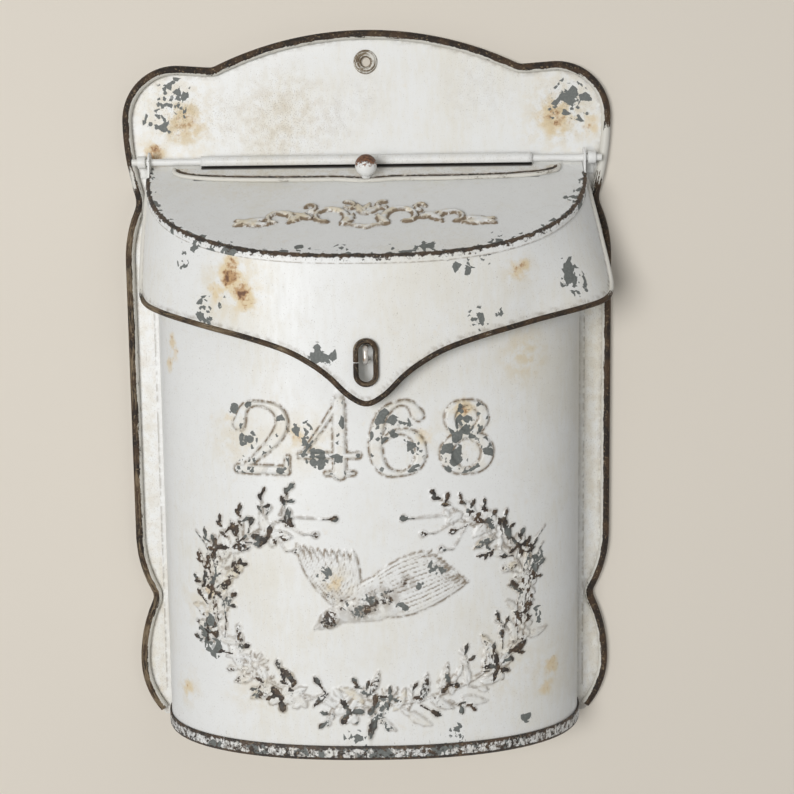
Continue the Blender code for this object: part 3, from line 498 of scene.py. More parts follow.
def joined(name, pieces):
    """One piece from several on the same body."""
    with bpy.context.temp_override(active_object=pieces[0], selected_editable_objects=pieces):
        bpy.ops.object.join()
    pieces[0].name = name
    return pieces[0]


def wire_tree():
    """Geometry Nodes that turn a line into a round wire and keep the distance along it."""
    tree = bpy.data.node_groups.new("wire_along_line", "GeometryNodeTree")
    for label, end, kind in (("Geometry", "INPUT", "Geometry"), ("Radius", "INPUT", "Float"),
                             ("Sides", "INPUT", "Int"), ("Spacing", "INPUT", "Float"),
                             ("Finish", "INPUT", "Material"), ("Geometry", "OUTPUT", "Geometry")):
        tree.interface.new_socket(label, in_out=end, socket_type="NodeSocket" + kind)

    def add(kind, **settings):
        node = tree.nodes.new(kind)
        for name, value in settings.items():
            setattr(node, name, value)
        return node

    def stored(name):
        node = add("GeometryNodeStoreNamedAttribute", data_type="FLOAT", domain="POINT")
        node.inputs["Name"].default_value = name
        return node

    given, result = add("NodeGroupInput"), add("NodeGroupOutput")
    even = add("GeometryNodeResampleCurve", mode="LENGTH")
    way, turn = add("GeometryNodeSplineParameter"), add("GeometryNodeSplineParameter")
    keep, keep_turn = stored("along"), stored("around")
    ring = add("GeometryNodeCurvePrimitiveCircle")
    body = add("GeometryNodeCurveToMesh")
    body.inputs["Fill Caps"].default_value = True
    smooth = add("GeometryNodeSetShadeSmooth")
    real = add("GeometryNodeRealizeInstances")
    paint = add("GeometryNodeSetMaterial")
    for source, target in (
            (given.outputs["Geometry"], even.inputs["Curve"]),
            (given.outputs["Spacing"], even.inputs["Length"]),
            (even.outputs["Curve"], keep.inputs["Geometry"]),
            (way.outputs["Length"], keep.inputs["Value"]),
            (given.outputs["Radius"], ring.inputs["Radius"]),
            (given.outputs["Sides"], ring.inputs["Resolution"]),
            (ring.outputs["Curve"], keep_turn.inputs["Geometry"]),
            (turn.outputs["Factor"], keep_turn.inputs["Value"]),
            (keep.outputs["Geometry"], body.inputs["Curve"]),
            (keep_turn.outputs["Geometry"], body.inputs["Profile Curve"]),
            (body.outputs["Mesh"], smooth.inputs["Geometry"]),
            (smooth.outputs["Geometry"], real.inputs["Geometry"]),
            (real.outputs["Geometry"], paint.inputs["Geometry"]),
            (given.outputs["Finish"], paint.inputs["Material"]),
            (paint.outputs["Geometry"], result.inputs["Geometry"])):
        tree.links.new(source, target)
    return tree


WIRE_TREE = wire_tree()


def wire(name, points, radius, material, sides=16, spacing=0.001, closed=False):
    """A round wire or rolled edge along points."""
    curve = bpy.data.curves.new(name, "CURVE")
    curve.dimensions = "3D"
    spline = curve.splines.new("POLY")
    spline.points.add(len(points) - 1)
    for slot, point in zip(spline.points, points):
        slot.co = (*point, 1.0)
    spline.use_cyclic_u = closed
    curve.materials.append(material)
    piece = in_scene(name, curve)
    rule = piece.modifiers.new("wire", "NODES")
    rule.node_group = WIRE_TREE
    values = {"Radius": radius, "Sides": sides, "Spacing": spacing, "Finish": material}
    for socket in WIRE_TREE.interface.items_tree:
        if socket.in_out == "INPUT" and socket.name in values:
            rule[socket.identifier] = values[socket.name]
    return made_plain(piece)


def turned(name, profile, material, matrix, sides=48, closed=False):
    """A turned piece from (radius, height) points, spun about local Z."""
    mesh = bpy.data.meshes.new(name)
    edges = [(i, i + 1) for i in range(len(profile) - 1)]
    if closed:
        edges.append((len(profile) - 1, 0))
    mesh.from_pydata([(r, 0.0, h) for r, h in profile], edges, [])
    piece = show(name, mesh, material)
    spin = piece.modifiers.new("turn", "SCREW")
    spin.steps = sides
    spin.render_steps = sides
    spin.use_merge_vertices = True
    spin.merge_threshold = MERGE
    piece = made_plain(piece)
    piece.data.transform(matrix)
    bm = bmesh.new()
    bm.from_mesh(piece.data)
    bmesh.ops.remove_doubles(bm, verts=bm.verts, dist=MERGE)
    bmesh.ops.recalc_face_normals(bm, faces=bm.faces)
    bm.to_mesh(piece.data)
    bm.free()
    return smoothed(piece)


def softened_copy(node, name, material, width):
    """A copy of a solid with its edges rounded."""
    mesh = frame["nodes"][node].data.copy()
    bm = bmesh.new()
    bm.from_mesh(mesh)
    bmesh.ops.remove_doubles(bm, verts=bm.verts, dist=SOLID_MERGE)
    bmesh.ops.dissolve_limit(bm, angle_limit=math.radians(2), verts=bm.verts, edges=bm.edges)
    bm.to_mesh(mesh)
    bm.free()
    piece = show(name, mesh, material)
    edge = piece.modifiers.new("edges", "BEVEL")
    edge.width = width
    edge.segments = 2
    edge.limit_method = "ANGLE"
    edge.angle_limit = math.radians(CREASE)
    edge.harden_normals = False
    return smoothed(made_plain(piece))


# Raised work

EDGE_LINE = 0.00065       # width of the dark line along the foot of raised work: dirt, and in part painted shade


def smooth_step(value):
    value = np.clip(value, 0, 1)
    return value * value * (3 - 2 * value)


def close_to(distance, reach):
    """One where a distance is zero or less, falling evenly to zero at `reach`."""
    return np.clip(1 - distance / reach, 0, 1)


class Relief:
    """Raised work on a sheet: height, a dark line at its foot that is dirt and in part painted shade, wear
    and cream tint at its mesh points.
    """

    def __init__(self, across, up):
        self.places = np.stack((np.ravel(across), np.ravel(up)), axis=1)
        self.height, self.line, self.worn, self.cream, self.chip = np.zeros((5, len(self.places)))

    def stroke(self, path, widths, height, worn=0.0, groove=0.0, flat=0.0, line=1.0, cream=0.0):
        """A raised stroke along a path. `groove` cuts a vein down its middle, and `flat` is the
        width of its sloping sides where its top is flat."""
        path, widths = np.array(path, dtype=float), np.array(widths, dtype=float)
        reach = widths.max() / 2 + 2 * EDGE_LINE
        near = np.flatnonzero(((self.places > path.min(axis=0) - reach)
                               & (self.places < path.max(axis=0) + reach)).all(axis=1))
        if not len(near):
            return
        run = np.diff(path, axis=0)
        away = self.places[near][:, None] - path[:-1]
        share = np.clip((away * run).sum(axis=2) / np.maximum((run ** 2).sum(axis=1), 1e-12), 0, 1)
        distance = np.sqrt(((away - share[..., None] * run) ** 2).sum(axis=2))
        half = np.maximum((widths[:-1] + share * np.diff(widths)) / 2, 0.00001)
        best = (distance / half).argmin(axis=1)
        pick = np.arange(len(near))
        half, ratio = half[pick, best], distance[pick, best] / half[pick, best]
        if flat:
            rise = smooth_step((1 - ratio) * half / flat)
        else:
            rise = np.clip(1 - ratio ** 2, 0, 1) ** 0.6
        level = height * rise * (1 - groove * np.exp(-(ratio / 0.16) ** 2))
        old = self.height[near]
        on_top = (ratio < 1) & (level > 0.7 * old)
        edge = line * np.exp(-((ratio - 1) * half / EDGE_LINE) ** 2) * (old < 0.8 * height)
        vein = line * groove * np.exp(-(ratio / 0.12) ** 2) * (share[pick, best] > 0.05) * on_top
        self.line[near] = np.maximum(np.where(on_top, self.line[near] * (1 - rise), self.line[near]),
                                     np.maximum(edge, vein))
        self.worn[near] = np.where(on_top, worn * np.minimum(1, 1.7 * rise), self.worn[near])
        self.cream[near] = np.where(on_top, cream, self.cream[near])
        self.height[near] = np.maximum(old, level)

    def marks(self):
        return {"relief": self.height / EMBOSS, "line": self.line, "worn": self.worn,
                "cream": self.cream, "chip": self.chip}


def heading_path(base, heading, length, shares, bend=0.0):
    return [(base[0] + length * t * math.cos(heading + bend * t),
             base[1] + length * t * math.sin(heading + bend * t)) for t in shares]


LEAF_SHARES = (0.0, 0.2, 0.45, 0.7, 0.9, 1.0)     # places along a leaf


def leaf(relief, base, heading, length, width, worn, cream=0.0):
    widths = [width * w for w in (0.18, 0.78, 1.0, 0.74, 0.34, 0.06)]
    relief.stroke(heading_path(base, heading, length, LEAF_SHARES, 0.28), widths, 0.85 * EMBOSS, worn,
                  groove=0.45, line=0.6, cream=cream)


def berry(relief, centre, radius, worn, height=0.9):
    relief.stroke([centre, (centre[0] + radius / 50, centre[1])], [2 * radius] * 2, height * EMBOSS, worn)


def bud(relief, base, heading, length, worn):
    relief.stroke(heading_path(base, heading, length, (0.0, 0.5, 0.62, 0.8, 1.0)),
                  [0.0008, 0.0009, 0.0024, 0.0036, 0.0009], 0.8 * EMBOSS, worn, line=0.55)


def flower(relief, centre, radius, petals, turn, worn):
    for k in range(petals):
        angle = turn + 2 * math.pi * k / petals
        path = heading_path(centre, angle, radius, (0.2, 0.5, 0.8, 1.0))
        width = radius * 3.3 / petals
        relief.stroke(path, [0.5 * width, 0.95 * width, width, 0.45 * width], 0.75 * EMBOSS,
                      worn if k % 2 else 0.3 * worn, groove=0.3)
    berry(relief, centre, 0.27 * radius, worn, height=1.0)


def sprig(relief, base, heading, length, worn, chance):
    """A thin branching stem with berries."""
    relief.stroke(heading_path(base, heading, length, (0.0, 0.5, 1.0), 0.3), [0.0011, 0.0010, 0.0008],
                  0.5 * EMBOSS, 0.2)
    for k, (share, side) in enumerate(((0.40, 0.9), (0.60, -0.9), (0.8, 0.8), (1.0, -0.1))):
        foot = heading_path(base, heading, length, (share,), 0.3)[0]
        path = heading_path(foot, heading + side, chance.uniform(0.0038, 0.0052), (0.0, 0.35, 0.7, 1.0))
        wide = chance.uniform(0.0020, 0.0032)
        relief.stroke(path, [0.0007, 0.75 * wide, wide, 0.4 * wide], 0.8 * EMBOSS, 0.95 if k % 2 else worn,
                      line=0.5)


WREATH_SEED = 11
WREATH_STEPS = 34         # places along each spray
WREATH_END = 62.0         # degrees above the level at which a spray ends
LEAF_LENGTH = 0.0140
LEAF_WIDTH = 0.0046
SPRIG_LENGTH = 0.0115
BUD_LENGTH = 0.0125
FLOWER_PLACES = (2, 7, 11, 16, 21, 26, 30)


def wreath(relief):
    """Two sprays of leaves, blossoms, buds and berries rising from the bottom of an oval."""
    chance = random.Random(WREATH_SEED)
    for side in (-1, 1):
        angles = np.radians(np.linspace(-92, WREATH_END, WREATH_STEPS))
        stem = [(side * WREATH_HALF_WIDTH * math.cos(a), WREATH_Z + WREATH_HALF_HEIGHT * math.sin(a))
                for a in angles]
        relief.stroke(stem, np.linspace(0.0018, 0.0011, WREATH_STEPS), 0.6 * EMBOSS, 0.35)
        for i in range(WREATH_STEPS - 1):
            here, ahead = np.array(stem[i]), np.array(stem[i + 1])
            along = math.atan2(*(ahead - here)[::-1])
            out = math.atan2(here[1] - WREATH_Z, here[0])
            spread = 1.0 - 0.35 * i / WREATH_STEPS
            worn = chance.choice((0.25, 0.55, 0.7, 0.85, 1.0))
            for turn in (0.75, -0.75):
                base = here + np.array((math.cos(out), math.sin(out))) * chance.uniform(-0.006, 0.006)
                if (i + (turn > 0)) % 2:
                    leaf(relief, base, along + turn * chance.uniform(0.7, 1.5),
                         LEAF_LENGTH * spread * chance.uniform(0.8, 1.2),
                         LEAF_WIDTH * chance.uniform(0.8, 1.25),
                         worn * chance.uniform(0.5, 1.0), chance.choice((0.0, 0.2, 0.7)))
                elif i % 3 == 0:
                    sprig(relief, base, along + turn * 1.2, SPRIG_LENGTH * spread, worn, chance)
                else:
                    bud(relief, base, along + turn, BUD_LENGTH * spread, worn)
        for i in FLOWER_PLACES:
            foot = np.array(stem[i])
            out = math.atan2(foot[1] - WREATH_Z, foot[0])
            shift = chance.uniform(-0.0075, 0.0085)
            centre = foot + shift * np.array((math.cos(out), math.sin(out)))
            flower(relief, tuple(centre), chance.uniform(0.0050, 0.0078), chance.choice((5, 6, 9)),
                   chance.uniform(0, 2), chance.choice((0.3, 0.9, 1.0)))
        for k in range(3):
            foot = stem[-1 - k]
            reach = math.pi if side > 0 else 0.0
            tip = (foot[0] - side * (0.016 - 0.004 * k), foot[1] - 0.0060 * k - 0.001)
            relief.stroke([foot, tip], [0.0010, 0.0007], 0.4 * EMBOSS, 0.4, line=0.6)
            bud(relief, tip, reach, 0.0075, 1.0 if k == 0 else 0.6)
        for k in range(7):
            foot = stem[-2 - 2 * k]
            turn = math.radians(90 - side * (-35 + 14 * k))
            sprig(relief, (foot[0], foot[1] + 0.0030), turn, chance.uniform(0.0110, 0.0150), 0.9, chance)
        for k in range(5):
            foot = stem[-19 + 2 * k]
            grass = heading_path(foot, math.radians(90 + side * (14 - 7 * k)), chance.uniform(0.020, 0.027),
                                 (0.0, 0.35, 0.7, 1.0), -0.35 * side)
            relief.stroke(grass, [0.0012, 0.0015, 0.0011, 0.0004], 0.55 * EMBOSS, 0.7, line=0.6)
    flower(relief, (0.002, WREATH_Z - WREATH_HALF_HEIGHT), 0.0055, 5, 0.3, 0.9)


def between(start, end, share):
    return (start[0] + (end[0] - start[0]) * share, start[1] + (end[1] - start[1]) * share)


def feathers(relief, count, roots, middles, tips, width, worn, crowding=1.0, drop=0.0):
    """A row of feathers, in millimetres. Roots, middles and tips each give the first feather's
    and the last one's; `drop` lowers the first tip at each step."""
    for k in range(count):
        share = k / (count - 1)
        first_tip = (tips[0][0], tips[0][1] - drop * k)
        known = [between(*roots, share), between(*middles, share),
                 between(first_tip, tips[1], share ** crowding)]
        path = MM * smooth_through(known, 4) + np.array((BIRD_X, BIRD_Z))
        shares = np.linspace(0, 1, len(path))
        widths = MM * width * np.interp(shares, (0.0, 0.3, 0.7, 0.92, 1.0), (0.5, 0.85, 1.0, 0.6, 0.12))
        relief.stroke(path, widths, 0.60 * EMBOSS, worn, groove=0.45, line=1.15)


BIRD_WORN = ((-4.4, -9.6, 6.4, 0.66), (1.9, -4.6, 6.6, 0.7), (9.4, -2.1, 7, 0.62), (-0.6, -8.4, 5.6, 0.66),
             (-20, -14, 7, 0.66), (19.4, 5.4, 5, 0.5), (-29.4, 4.1, 4, 0.42), (-20, -1, 6, 0.42),
             (-12.5, -6, 7, 0.46))


def swallow(relief):
    """A swallow in flight with two raised wings, flying to the lower left."""
    feathers(relief, 9, ((-17, -6), (-5, -3)), ((-28, 8), (-5.5, 8)), ((-35.5, 25), (-7.5, 22)), 4.4, 0.0,
             drop=0.6)
    feathers(relief, 12, ((-4, 2), (0, -11)), ((14, 14), (22, -9.5)), ((32, 21), (51, 4)), 4.5, 0.0,
             crowding=0.8)
    feathers(relief, 7, ((-9, -1), (0, -8)), ((0, 5), (9, -5)), ((10, 9), (20, -2)), 4.2, 0.2)
    body = MM * np.array([(-27.5, -19), (-24, -16.5), (-20, -14), (-14, -10.5), (-6, -9), (5, -9.5),
                          (18, -8)]) + (BIRD_X, BIRD_Z)
    relief.stroke(body, MM * np.array((0.8, 5.0, 9.8, 9.8, 12.5, 9.8, 3.0)), 0.9 * EMBOSS, 0.05, line=0.5)
    head = body[2]
    relief.stroke([head, head + (0.0015, 0.0012)], [0.0088, 0.0078], 1.0 * EMBOSS, 0.58, line=0.9)
    rubbed = patches(relief.places[:, 0] - BIRD_X, relief.places[:, 1] - BIRD_Z, BIRD_WORN)
    relief.worn = np.maximum(relief.worn, rubbed * (relief.height > 0.2 * EMBOSS))
    relief.line = np.maximum(relief.line, 1.3 * rubbed * (relief.height > 0.1 * EMBOSS))


def digit_strokes(digit):
    """Strokes of one numeral in a unit box: points, and widths as shares of its height."""
    thin, thick = 0.075, 0.19
    ring = [(math.cos(a), math.sin(a)) for a in np.linspace(0.3, 0.3 + 2 * math.pi, 25)]
    if digit == "2":
        return [([(0.10, 0.70), (0.22, 0.93), (0.50, 0.985), (0.80, 0.90), (0.88, 0.70), (0.72, 0.47),
                  (0.42, 0.25), (0.12, 0.07)], (0.20, 0.12, thin, 0.15, thick, 0.17, 0.11, thin)),
                ([(0.06, 0.07), (0.50, 0.07), (0.94, 0.07)], (0.13, 0.14, 0.13)),
                ([(0.94, 0.05), (0.97, 0.25)], (0.11, thin))]
    if digit == "4":
        return [([(0.66, 0.99), (0.36, 0.64), (0.04, 0.29)], (0.10, thin, thin)),
                ([(0.00, 0.28), (0.50, 0.28), (1.00, 0.28)], (0.10, 0.10, 0.10)),
                ([(0.68, 1.00), (0.68, 0.50), (0.68, 0.03)], (thick, thick, thick)),
                ([(0.44, 0.03), (0.68, 0.03), (0.92, 0.03)], (0.07, thin, 0.07))]
    if digit == "6":
        return [([(0.84, 0.82), (0.72, 0.96), (0.50, 0.985), (0.24, 0.84), (0.12, 0.55), (0.13, 0.26),
                  (0.28, 0.06), (0.52, 0.02), (0.78, 0.10), (0.89, 0.31), (0.78, 0.53), (0.52, 0.60),
                  (0.26, 0.50), (0.15, 0.36)],
                 (0.18, 0.12, thin, 0.15, thick, thick, 0.14, thin, 0.13, 0.18, 0.14, thin, thin, thin))]
    swell = [thin + 0.09 * abs(x) for x, y in ring]
    return [([(0.5 + 0.30 * x, 0.765 + 0.205 * y) for x, y in ring], swell),
            ([(0.5 + 0.37 * x, 0.275 + 0.245 * y) for x, y in ring], [1.15 * width for width in swell])]


def numerals(relief):
    start = DIGIT_MIDDLE - (DIGIT_PITCH * (len(DIGITS) - 1) + DIGIT_WIDTH) / 2
    for i, digit in enumerate(DIGITS):
        for path, widths in digit_strokes(digit):
            line = smooth_through([(start + i * DIGIT_PITCH + x * DIGIT_WIDTH, DIGIT_BASE + z * DIGIT_HEIGHT,
                                    width * DIGIT_HEIGHT) for (x, z), width in zip(path, widths)], 5)
            relief.stroke(line[:, :2], line[:, 2], 0.8 * EMBOSS, 0.30, flat=DIGIT_SLOPE, line=1.35,
                          cream=0.3)


def scrolls(relief):
    """Mirrored scrolls with a small palmette, across and down the slope from the hinge."""
    def curl(centre, radius, start, sweep, width):
        shares = np.linspace(0, 1, 20)
        path = [(centre[0] + radius * (1 - 0.62 * t) * math.cos(start + sweep * t),
                 centre[1] + radius * (1 - 0.62 * t) * math.sin(start + sweep * t)) for t in shares]
        return path, width * (1.0 - 0.5 * shares)

    def spray(base, heading, length, width):
        widths = width * np.array((0.3, 0.8, 1.0, 0.74, 0.34, 0.1))
        return heading_path(base, heading, length, LEAF_SHARES, 0.22), widths

    for side in (-1, 1):
        for path, widths in (curl((0.0190, 0.0020), 0.0105, 2.6, 5.2, 0.0036),
                             curl((0.0440, 0.0035), 0.0080, 3.0, 4.6, 0.0032),
                             curl((0.0090, -0.0085), 0.0042, -1.4, -4.4, 0.0024),
                             spray((0.0500, 0.0040), 0.10, 0.0160, 0.0056),
                             spray((0.0300, -0.0010), 0.55, 0.0120, 0.0046),
                             spray((0.0270, 0.0030), -0.60, 0.0110, 0.0042),
                             spray((0.0360, -0.0010), -0.35, 0.0100, 0.0040),
                             spray((0.0640, 0.0045), 2.70, 0.0170, 0.0050),
                             spray((0.0120, 0.0085), -2.40, 0.0110, 0.0046),
                             curl((0.0285, -0.0075), 0.0040, 1.8, 4.4, 0.0024)):
            placed = [(side * x, SCROLL_POSITION + v) for x, v in path]
            # the strong dark line round the scrolls is in part painted shade at their feet
            relief.stroke(placed, 1.15 * widths, 0.95 * EMBOSS, 0.30, line=2.0, cream=1.0)
    for angle in (-2.20, -1.57, -0.94):
        path, widths = spray((0.0, SCROLL_POSITION - 0.0010), angle, 0.0105, 0.0050)
        relief.stroke(path, widths, 0.8 * EMBOSS, 0.15, groove=0.3, line=1.3, cream=1.0)
    relief.stroke([(-0.0090, SCROLL_POSITION + 0.0085), (0.0, SCROLL_POSITION + 0.0110),
                   (0.0090, SCROLL_POSITION + 0.0085)], [0.0012, 0.0036, 0.0012], 0.8 * EMBOSS, 0.1,
                  line=1.3, cream=1.0)


# Where paint is gone or stained: centre across, centre up or down the sheet and radius in
# millimetres, then strength

PLATE_CHIPS = ((-101.5, 161, 8.5, 0.9), (-109, 149, 8, 0.8), (-98.5, 154, 5, 0.7), (107.5, 159, 9.5, 0.9),
               (102, 153, 6.5, 0.7), (114, 150, 4, 0.6))
PLATE_RUST = ((-96, 148, 11, 0.7), (-113, 132, 6, 1), (100, 148, 10, 0.8), (118, 144, 6, 0.6))
PLATE_CREAM = ((-100, 150, 24, 0.7), (104, 150, 23, 0.7), (-45, 148, 26, 0.35))
PLATE_SPECKS = ((-45, 148, 27, 0.9), (-75, 150, 16, 0.7), (-20, 149, 16, 0.7), (-100, 152, 17, 0.8),
                (104, 152, 16, 0.8), (60, 164, 20, 0.4), (-2, 160, 14, 0.4))
RIM_PAINT = ((127, 128, 19, 1.2), (-128, 118, 10, 0.8), (-62, 168, 7, 0.8))
LID_CHIPS = ((-88, 72, 7.5, 0.95), (-77, 75.5, 7, 0.9), (-98, 56, 4.5, 0.7), (-66, 78, 4, 0.7),
             (12, 81, 4.2, 0.7), (30, 79, 4.5, 0.75), (106, 38, 5, 0.7), (110.5, 29, 4, 0.7),
             (-31, 80, 3.5, 0.6), (66, 71, 4.5, 0.65), (-11, 80.5, 3.5, 0.6))
SKIRT_CHIPS = ((-93.6, 76.4, 4.5, 0.8), (-89, 83, 6, 0.85), (-81, 52.5, 7, 0.85), (-74.5, 57.5, 4.5, 0.7),
               (-21.3, 31, 6, 0.55), (55, 47.2, 5.5, 0.75), (66.3, 50.8, 2.2, 0.9), (47, 87, 4.5, 0.75),
               (61, 85.5, 7, 0.75), (49, 74.4, 6.5, 0.6), (59, 80, 5, 0.6), (108, 64, 7, 0.75),
               (105, 72, 4.5, 0.7))
SKIRT_RUST = ((-67, 69, 6, 1.3), (-61, 62, 5.5, 1.3), (-65.5, 76, 4.5, 1), (-59, 58, 6, 0.8),
              (76, 71, 5, 0.7), (80, 73.5, 3.5, 0.7), (-74, 62, 6, 0.5))
SKIRT_CREAM = ((-64, 66, 17, 0.9), (77, 71, 10, 0.5), (-72, 58, 10, 0.6))
BODY_RUST = ((-109, 35, 4.5, 0.7), (-106, 29, 3.5, 0.7), (-113, 23, 4, 0.7), (100, -137, 6, 0.7),
             (95.5, -148, 5, 0.6), (-105, -149, 4.5, 0.6), (47.8, 2, 6, 0.7), (-70, -2, 4, 0.5),
             (-35, -11, 5.5, 0.6), (28, -10, 5, 0.5), (-17, -85, 5, 0.6), (-86, -93, 4.5, 0.6))
BODY_CREAM = ((81.7, 27, 13, 0.9), (-66, -13, 15, 0.5), (48, -8, 15, 0.6), (-30, -12, 15, 0.5),
              (-90, -100, 15, 0.5), (-60, -140, 18, 0.4), (70, -130, 20, 0.4), (98, -140, 12, 0.5),
              (-105, -149, 10, 0.5), (-17, -86, 11, 0.5))
BODY_CHIPS = ((49, -5, 7.5, 0.9), (44, -23, 6, 0.8), (15, -6, 6, 0.75), (23, -16, 6, 0.85),
              (-32, -8, 6, 0.8), (-25, -22, 5, 0.75), (-60, -12, 5, 0.8), (-63, -27, 5, 0.8),
              (-68, 3, 3, 0.7), (34, -78, 4.5, 0.85), (16, -98, 2.8, 0.9), (24, -87, 3, 0.8),
              (-23, -80, 4, 0.7), (-12, -97, 3, 0.7), (-7, -165.5, 7.5, 0.75), (42, -166, 6, 0.75),
              (83, -161, 3, 0.7), (-88, -112, 6, 0.7), (-84, -123, 6, 0.7), (88, -79, 5, 0.8),
              (90, -108, 4, 0.7), (5, -150, 5, 0.7))
BAND_CHIPS = ((-62, -174, 10, 0.8), (-42, -174, 8, 0.7), (-5, -173, 18, 0.95), (40, -173.5, 15, 0.95),
              (20, -173.5, 8, 0.8), (75, -173.5, 8, 0.7), (-85, -173.5, 6, 0.7))


def patches(across, up, spots):
    """How strongly each place lies in one of some round patches."""
    across, up = np.ravel(across), np.ravel(up)
    strength = np.zeros(len(across))
    for x, z, radius, amount in spots:
        away = np.hypot(across - MM * x, up - MM * z) / (MM * radius)
        strength = np.maximum(strength, amount * np.clip(1.35 - away, 0, 1))
    return strength


# Finishes

class Shader:
    """Short calls for building a shader node tree."""

    def __init__(self, tree):
        self.tree = tree

    def add(self, kind, inputs=(), **settings):
        node = self.tree.nodes.new(kind)
        for name, value in settings.items():
            setattr(node, name, value)
        self.feed(node.inputs, dict(inputs))
        return node

    def put(self, value, socket):
        """Links a socket to another node's output, or sets it to a value or a colour."""
        if isinstance(value, bpy.types.NodeSocket):
            self.tree.links.new(value, socket)
        else:
            socket.default_value = (*value, 1.0) if socket.type == "RGBA" else value

    def feed(self, sockets, values):
        for slot, value in values.items():
            self.put(value, sockets[slot])

    def maths(self, operation, a, b=0.0, clamp=False):
        return self.add("ShaderNodeMath", {0: a, 1: b}, operation=operation, use_clamp=clamp).outputs[0]

    def plus(self, a, b, share):
        """a and a share of b."""
        return self.maths("ADD", a, self.maths("MULTIPLY", b, share))

    def swing(self, noise, share):
        """A share of a noise, moved to lie about zero."""
        return self.maths("MULTIPLY", self.maths("SUBTRACT", noise, 0.5), share)

    def vector(self, operation, a, b):
        return self.add("ShaderNodeVectorMath", {0: a, 1: b}, operation=operation).outputs[0]

    def mask(self, value, low, high):
        """Zero below `low`, one above `high`, with a soft step between."""
        return self.add("ShaderNodeMapRange", {"Value": value, "From Min": low, "From Max": high},
                        interpolation_type="SMOOTHSTEP").outputs["Result"]

    def noise(self, place, scale, detail=3.0, roughness=0.55, kind="Fac"):
        return self.add("ShaderNodeTexNoise", {"Vector": place, "Scale": scale, "Detail": detail,
                                               "Roughness": roughness}).outputs[kind]

    def cells(self, place, scale):
        """A random value for each angular cell."""
        found = self.add("ShaderNodeTexVoronoi", {"Vector": place, "Scale": scale})
        return self.add("ShaderNodeSeparateColor", {0: found.outputs["Color"]}).outputs[0]

    def blend(self, amount, a, b):
        mix = self.add("ShaderNodeMix", data_type="RGBA")
        self.feed(mix.inputs, {0: amount, 6: a, 7: b})
        return mix.outputs[2]

    def level(self, amount, a, b):
        """A number that goes from a to b."""
        return self.add("ShaderNodeMapRange", {"Value": amount, "To Min": a, "To Max": b}).outputs["Result"]

    def painted(self, name):
        return self.add("ShaderNodeAttribute", attribute_name=name).outputs["Fac"]

    def bump(self, height, strength, distance):
        return self.add("ShaderNodeBump", {"Height": height, "Strength": strength,
                                           "Distance": distance}).outputs[0]

    def stretched(self, place, scale):
        return self.add("ShaderNodeMapping", {"Vector": place, "Scale": scale}).outputs["Vector"]


def shader_group(name, inputs, outputs):
    """An empty shader node group with named sockets; its shader, inputs and output node."""
    tree = bpy.data.node_groups.new(name, "ShaderNodeTree")
    for end, sockets in (("INPUT", inputs), ("OUTPUT", outputs)):
        for label, kind in sockets.items():
            tree.interface.new_socket(label, in_out=end, socket_type=kind)
    shader = Shader(tree)
    return tree, shader, shader.add("NodeGroupInput").outputs, shader.add("NodeGroupOutput").inputs


NUMBER, PLACE, TINT = "NodeSocketFloat", "NodeSocketVector", "NodeSocketColor"
WEAR_INPUTS = {"Place": PLACE, "Amount": NUMBER, "Fineness": NUMBER}

PAINT = (0.835, 0.838, 0.822)
PAINT_WARM = (0.790, 0.768, 0.700)
PAINT_DULL = (0.70, 0.68, 0.62)
CREAM = (0.720, 0.585, 0.340)
STAIN_PALE = (0.760, 0.570, 0.280)
STAIN = (0.420, 0.205, 0.065)
RUST = (0.105, 0.036, 0.013)
# for dust specks, and for dark lines that are dirt and in part painted shade
DIRT_AND_SHADE = (0.205, 0.150, 0.095)
BARE_GREY = (0.120, 0.130, 0.123)
PALE_GREY = (0.175, 0.185, 0.175)
WORN_DARK = (0.017, 0.012, 0.009)
WORN_BROWN = (0.060, 0.036, 0.020)
WORN_TAN = (0.250, 0.185, 0.112)
DARK_TAN = (0.185, 0.140, 0.088)
# near-black painted shade for the gap at the flap's knuckle
CREVICE_SHADE = (0.012, 0.009, 0.007)
STEEL_PALE = (0.60, 0.59, 0.57)
STEEL_GREY = (0.46, 0.45, 0.43)
STEEL_BROWN = (0.26, 0.19, 0.13)
BALL_RUST_DARK = (0.060, 0.026, 0.014)
BALL_RUST = (0.240, 0.105, 0.052)


def flakes_group():
    """Angular flakes of lost paint where the amount is high."""
    tree, s, given, out = shader_group("lost_flakes", WEAR_INPUTS, {"Mask": NUMBER})
    shake = s.vector("SUBTRACT", s.noise(given["Place"], 700.0, 2.0, 0.6, "Color"), (0.5, 0.5, 0.5))
    place = s.vector("ADD", given["Place"], s.vector("MULTIPLY", shake, (0.0013, 0.0013, 0.0013)))
    large = s.cells(place, given["Fineness"])
    small = s.cells(place, s.maths("MULTIPLY", given["Fineness"], 2.4))
    first = s.mask(s.maths("SUBTRACT", s.maths("MULTIPLY", given["Amount"], 0.66), large), 0.0, 0.03)
    second = s.mask(s.maths("SUBTRACT", s.maths("MULTIPLY", given["Amount"], 0.26), small), 0.0, 0.03)
    s.put(s.maths("MAXIMUM", first, second), out["Mask"])
    return tree


def ragged_group():
    """A mask with a ragged border where a painted amount runs out."""
    tree, s, given, out = shader_group("ragged_wear", WEAR_INPUTS, {"Mask": NUMBER})
    coarse = s.noise(given["Place"], given["Fineness"], 5.0, 0.65)
    worn = s.maths("ADD", given["Amount"], s.swing(coarse, 1.5))
    s.put(s.mask(worn, 0.52, 0.66), out["Mask"])
    return tree


